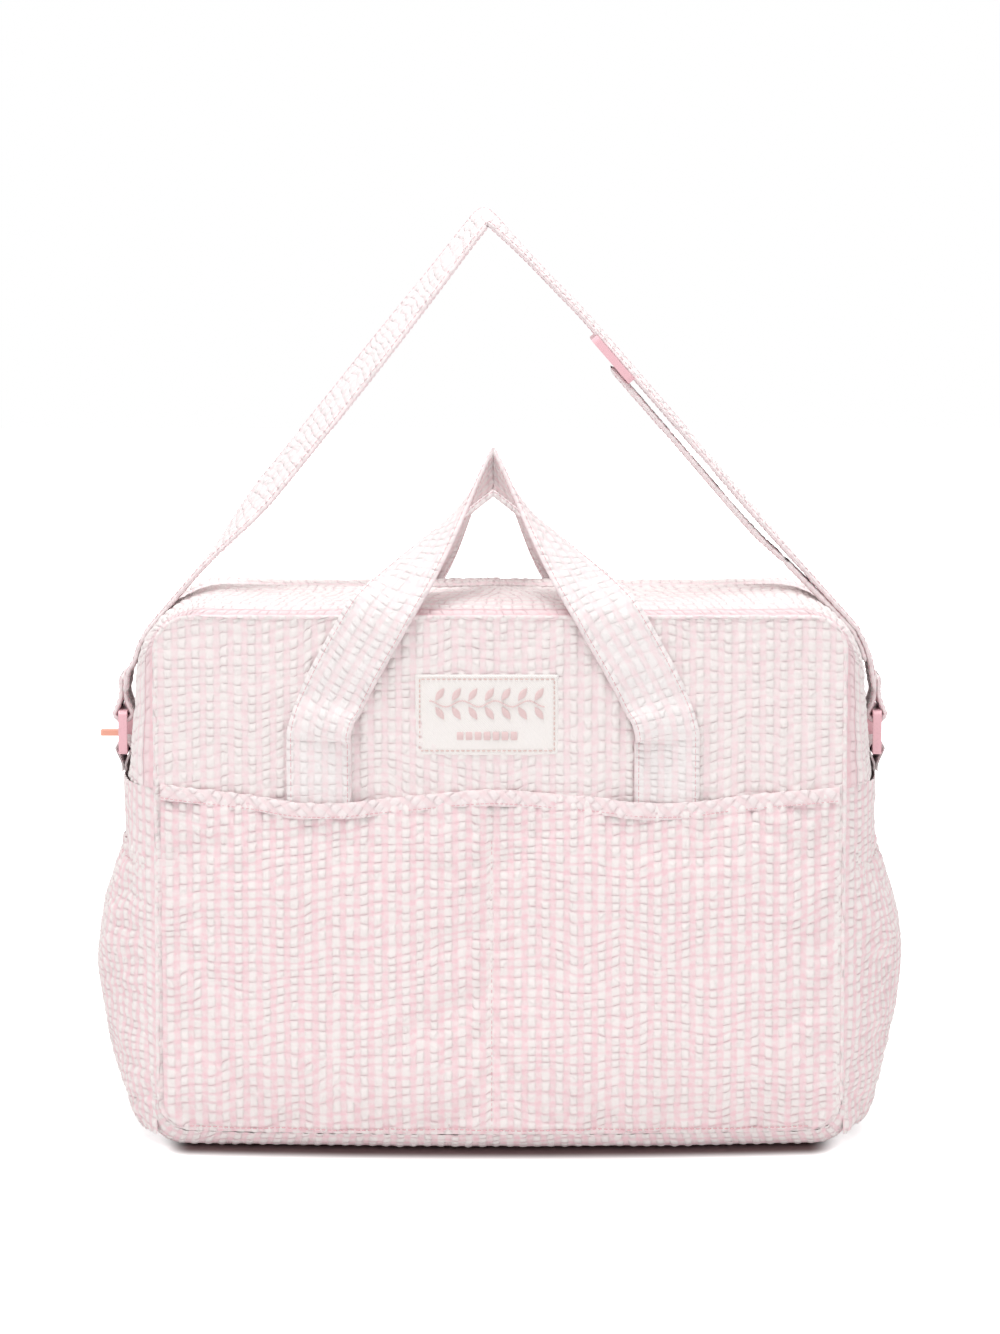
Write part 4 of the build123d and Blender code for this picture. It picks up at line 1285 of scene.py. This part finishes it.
BAR_HIGH = 0.250
BAR_LOW = 0.228
TAB_TURN = 0.2195
LOOP_END = 0.2725
LOOP_TURN = 0.2600


def ring_loops():
    """The strap's sewn ends round the rings' top bars, and the tabs round their lower bars."""
    angles = np.radians(np.linspace(200, -20, 12))[1:-1]

    def place(offset, z):
        return (sign * (RING_X + offset), STRAP_Y, z)

    for side, sign in (("left", -1), ("right", 1)):
        loop = 0.0049
        path = [place(-0.0013, LOOP_END), place(-0.0014, LOOP_TURN)]
        path += [place(loop * math.cos(angle), BAR_HIGH - loop * math.sin(angle)) for angle in angles]
        path += [place(0.0014, LOOP_TURN), place(0.0013, LOOP_END)]
        line = curve_through(path, 60)
        bend = (f"{side}_ring", "bag_body", (0, 0, 0.2550), (0, 0, 0.2715))
        strap(f"{side}_ring_loop", line, straight_back(line), 171, (f"{side}_strap_end",), carried=bend,
              wide=0.036, thick=0.0024, strength=0.35, sewing=f"{side}_ring_loop_stitching")

        loop = 0.0045
        path = [place(-0.0009, SEAM_Z + 0.0005), place(-0.0010, TAB_TURN)]
        path += [place(loop * math.cos(angle), BAR_LOW + loop * math.sin(angle)) for angle in angles]
        path += [place(0.0010, TAB_TURN), place(0.0009, SEAM_Z + 0.0005)]
        line = curve_through(path, 50)
        strap(f"{side}_ring_tab_cloth", line, straight_back(line), 173, (f"{side}_ring_tab",), "bag_body",
              wide=0.033, thick=0.0014, strength=0.3)


# Label --------------------------------------------------------------------------

LABEL_LOW, LABEL_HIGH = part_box("label_patch")
LABEL_FACE = FRONT - 0.0034
LABEL_HEM = 0.0026         # from the label's edge to its border of stitches
LEAF_LONG = 0.0088
LEAF_WIDE = 0.0040
LEAF_OFF = 0.0055          # from the stem to a leaf's middle
LEAF_TILT = math.radians(56)
SPRIG_AT = 0.64            # heights of the sprig and the bars, as shares of the label's
SPRIG_REACH = 0.0335
SPRIG_COUNT = 7
BAR_AT = 0.24
BAR_COUNT = 7
BAR_PITCH = 0.0052
BAR_WIDE = 0.0034
BAR_TALL = 0.0050


def satin(middle, along, across, long, wide, taper, pitch=0.00050):
    """A filled shape of parallel stitches. taper gives its width at each share of its length."""
    rows = []
    for share in np.linspace(-0.94, 0.94, steps(long, pitch)):
        reach = wide / 2 * taper(share)
        centre = middle + along * share * long / 2
        rows.append(stitch(centre - across * reach, centre + across * reach, (0, -1, 0), 0.00032, 0.00045))
    return rows


def rectangle(left, right, low, high):
    """Its corners in turn."""
    return [(left, low), (right, low), (right, high), (left, high)]


def leaf(x, z, tilt):
    """A satin-stitched leaf with a point at each end."""
    along = np.array([math.cos(tilt), 0, math.sin(tilt)])
    across = np.array([-math.sin(tilt), 0, math.cos(tilt)])
    middle = np.array([x, LABEL_FACE, z])
    return satin(middle, along, across, LEAF_LONG, LEAF_WIDE, lambda share: 1 - abs(share) ** 1.8)


def label():
    """A woven patch with a sewn border and a plain embroidered sprig over a row of short bars."""
    low_x, high_x, low_z, high_z = LABEL_LOW.x, LABEL_HIGH.x, LABEL_LOW.z, LABEL_HIGH.z
    x = np.linspace(low_x, high_x, 130)
    z = np.linspace(low_z, high_z, 76)
    grid_x, grid_z = np.meshgrid(x, z)
    inside = np.minimum.reduce([grid_x - low_x, high_x - grid_x, grid_z - low_z, high_z - grid_z])
    rise = np.sqrt(np.clip(inside / 0.0012, 0, 1))
    groove = np.exp(-((inside - LABEL_HEM) / 0.0007) ** 2)
    y = FRONT - 0.0018 - 0.0014 * rise + 0.0005 * groove - 0.00035 * noise(grid_x, grid_z, 0.014, 181)
    patch = grid_mesh("label_cloth", np.stack([grid_x, y, grid_z], -1))
    dress(patch, TWILL, "bag_body", nodes=("label_patch",))

    corners = rectangle(low_x + LABEL_HEM, high_x - LABEL_HEM, low_z + LABEL_HEM, high_z - LABEL_HEM)
    border = []
    for (ax, az), (bx, bz) in zip(corners, corners[1:] + corners[:1]):
        line = [(ax, LABEL_FACE + 0.0002, az), (bx, LABEL_FACE + 0.0002, bz)]
        border += stitch_row(line, (0, -1, 0), pitch=0.0030, gap=0.0010, radius=0.00034, rise=0.00034)
    dress(join("label_border_stitching", border), CREAM, "bag_body")

    middle = (low_x + high_x) / 2
    sprig_z = low_z + SPRIG_AT * (high_z - low_z)
    stem = []
    for share in np.linspace(-1, 1, 90):
        rise = 0.0018 * math.sin(share * SPRIG_COUNT * math.pi / 2)
        stem.append((middle + share * SPRIG_REACH, LABEL_FACE, sprig_z + rise))
    sewing = stitch_row(stem, (0, -1, 0), pitch=0.0016, gap=0.0001, radius=0.00045, rise=0.00045)
    for k in range(SPRIG_COUNT):
        share = -1 + (2 * k + 1) / SPRIG_COUNT
        for side in (-1, 1):
            sewing += leaf(middle + share * SPRIG_REACH + 0.0014, sprig_z + side * LEAF_OFF, side * LEAF_TILT)
    bar_z = low_z + BAR_AT * (high_z - low_z)
    for k in range(BAR_COUNT):
        centre = np.array([middle + (k - (BAR_COUNT - 1) / 2) * BAR_PITCH, LABEL_FACE, bar_z])
        across = np.array([0.0, 0, 1])
        sewing += satin(centre, np.array([1.0, 0, 0]), across, BAR_WIDE, BAR_TALL, lambda share: 1.0)
    dress(join("label_embroidery", sewing), EMBROIDERY, "bag_body")


# Seam stitching -----------------------------------------------------------------

TACK_LONG = 0.0070
TACK_PITCH = 0.0005


def bar_tack(x, y, z, normal):
    """A dense short row of stitches across a point of strain."""
    side = np.array([0.0009, 0, 0])
    rows = []
    for k in range(int(TACK_LONG / TACK_PITCH)):
        middle = np.array([x, y, z + (k + 0.5) * TACK_PITCH - TACK_LONG / 2])
        rows.append(stitch(middle - side, middle + side, normal, 0.00024, 0.00022))
    return rows


CROSS_HALF = 0.0145        # half the width of the stitched box on a handle's sewn end
CROSS_LOW = 0.1965
CROSS_HIGH = 0.2300


def boxed_cross(x, y):
    """A stitched box with a cross in it, on a rear handle's sewn end."""
    corners = [(a, y, b) for a, b in rectangle(x - CROSS_HALF, x + CROSS_HALF, CROSS_LOW, CROSS_HIGH)]
    rows = []
    for first, second in ((0, 1), (1, 2), (2, 3), (3, 0), (0, 2), (1, 3)):
        rows += stitch_row([corners[first], corners[second]], (0, 1, 0), radius=0.00030, rise=0.00030)
    return rows


BASE_SEAM_ROW = 2          # the pocket's row of points that the base seam's stitches follow


def seam_stitching(pocket, extra):
    rows = list(extra)
    span = np.linspace(-1, 1, 60) * (HALF - PANEL_LOW_RADIUS * 0.6)
    rear = bowed(surface(span, DEPTH + 0.0012, PANEL_LOW_Z + 0.0030))
    front = pocket[BASE_SEAM_ROW, 6:-6] + np.array([0, -0.0009, 0])
    for line, normal in ((front, (0, -1, 0)), (rear, (0, 1, 0))):
        rows += stitch_row(line, normal, pitch=0.0034, gap=0.0010, radius=0.00036, rise=0.00036)
    column = int(np.argmin(np.abs(pocket[0, :, 0] - CENTRE_X)))
    seam = pocket[3:-7, column] + np.array([0, -0.0004, 0])
    rows += stitch_row(seam, (0, -1, 0), pitch=0.0030)
    face = DEPTH + HANDLE_OFF + STRAP_THICK / 2 + 0.0004
    for sign in (-1, 1):
        rows += boxed_cross(HANDLE_X + sign * HANDLE_REACH, face)
    dress(join("seam_stitching", rows), SALMON, "bag_body")

    tacks = []
    for sign in (-1, 1):
        for end in (-1, 1):
            place = (sign * (HALF + 0.0020), end * (SIDE_SEAM_Y - 0.0010), HEM_Z - 0.0060)
            tacks += bar_tack(*place, (sign * 0.4, end * 0.9, 0))
    dress(join("bar_tacks", tacks), CORAL, "bag_body")


# Scene --------------------------------------------------------------------------

CAMERA_DISTANCE = 2.4
CAMERA_RISE = math.radians(7.25)
CAMERA_LENS = 112.0
AMBIENT = 0.69             # light from all round, apart from what the camera sees directly
AMBIENT_TINT = (1.02, 0.965, 0.965, 1)    # pink, as shadows between pink cloths are
KEY_POWER = 19.0
TOP_POWER = 19.0
LIGHT_TINT = (0.98, 1.0, 1.0)
FLOOR_HALF = 6.0
FLOOR_Z = -0.0002
FLOOR_WHITE = (0.95, 0.95, 0.95, 1)
FLOOR_SHADE = (0.17, 0.12, 0.12, 1)       # the narrow shadow seen along the bag's base


def aimed(name, data, place, aim):
    """A camera or light at a place, turned towards another."""
    item = placed(name, data)
    item.location = place
    item.rotation_euler = (Vector(aim) - Vector(place)).to_track_quat("-Z", "Y").to_euler()
    return item


def camera():
    """Square to the front, a little above the middle of the bag."""
    aim = Vector((0, FRONT, (CAD_LOW[2] + CAD_HIGH[2]) / 2 + 0.0135))
    place = aim + CAMERA_DISTANCE * Vector((0, -math.cos(CAMERA_RISE), math.sin(CAMERA_RISE)))
    data = bpy.data.cameras.new("Camera")
    data.lens = CAMERA_LENS
    data.sensor_width = 36.0
    data.clip_end = 20.0
    bpy.context.scene.camera = aimed("Camera", data, place, aim)


def soft_light(name, place, size, power):
    data = bpy.data.lights.new(name, "AREA")
    data.shape = "SQUARE"
    data.size = size
    data.energy = power
    data.color = LIGHT_TINT
    aimed(name, data, place, (0, 0, 0.2))


def studio():
    world = bpy.data.worlds.new("Studio")
    bpy.context.scene.world = world
    world.use_nodes = True
    background = world.node_tree.nodes["Background"]
    ray = world.node_tree.nodes.new("ShaderNodeLightPath").outputs["Is Camera Ray"]
    strength = put(world.node_tree, "MapRange", ray, 0.0, 1.0, AMBIENT, 1.0)
    world.node_tree.links.new(strength, background.inputs["Strength"])
    tint = mixed(world.node_tree, ray, AMBIENT_TINT, (1, 1, 1, 1))
    world.node_tree.links.new(tint, background.inputs["Color"])
    soft_light("Key", (-0.4, -0.9, 2.4), 0.9, KEY_POWER)
    soft_light("Top", (0.2, 0.3, 2.4), 1.6, TOP_POWER)

    material, tree, shader = new_material("Studio_floor", 0.9, specular=0.0)
    shader.inputs["Emission Color"].default_value = (1, 1, 1, 1)
    x, y = object_place(tree)[1:3]
    beside = sums(tree, "SUBTRACT", sums(tree, "ABSOLUTE", x), HALF)
    before = sums(tree, "SUBTRACT", sums(tree, "ABSOLUTE", y), DEPTH)
    bow = times(tree, sums(tree, "POWER", sums(tree, "DIVIDE", x, HALF), 2.0), BOW)
    outline = sums(tree, "ADD", before, bow)
    seen = tree.nodes.new("ShaderNodeLightPath").outputs["Is Camera Ray"]
    under = ramp(tree, outline, 0.008, 0.037, 1.0, 0.0)
    shaded = times(tree, under, ramp(tree, beside, -0.02, 0.006, 1.0, 0.0), seen)
    pale = mixed(tree, shaded, FLOOR_WHITE, FLOOR_SHADE)
    tree.links.new(pale, shader.inputs["Base Color"])
    near = ramp(tree, shaded, 0.0, 1.0, 0.62, 0.0)
    far = ramp(tree, sums(tree, "MAXIMUM", beside, before), 0.02, 0.40, 0.0, 0.60)
    glow = times(tree, sums(tree, "ADD", near, far), seen)
    tree.links.new(glow, shader.inputs["Emission Strength"])
    reach = np.linspace(-FLOOR_HALF, FLOOR_HALF, 9)
    floor = grid_mesh("Floor", surface(reach, reach[:, None], FLOOR_Z))
    floor.data.materials.append(material)
    bpy.context.scene.view_settings.view_transform = "Standard"


def main():
    camera()
    finish_nodes()
    gusset_pieces()
    zips()
    side_panels()
    base()
    panels()
    panel_seams()
    linings()
    hidden_pieces()
    pocket = front_pocket()
    sewing = pocket_binding()
    sewing += side_pockets()
    handles()
    shoulder_strap()
    ring_loops()
    label()
    seam_stitching(pocket, sewing)
    studio()


main()
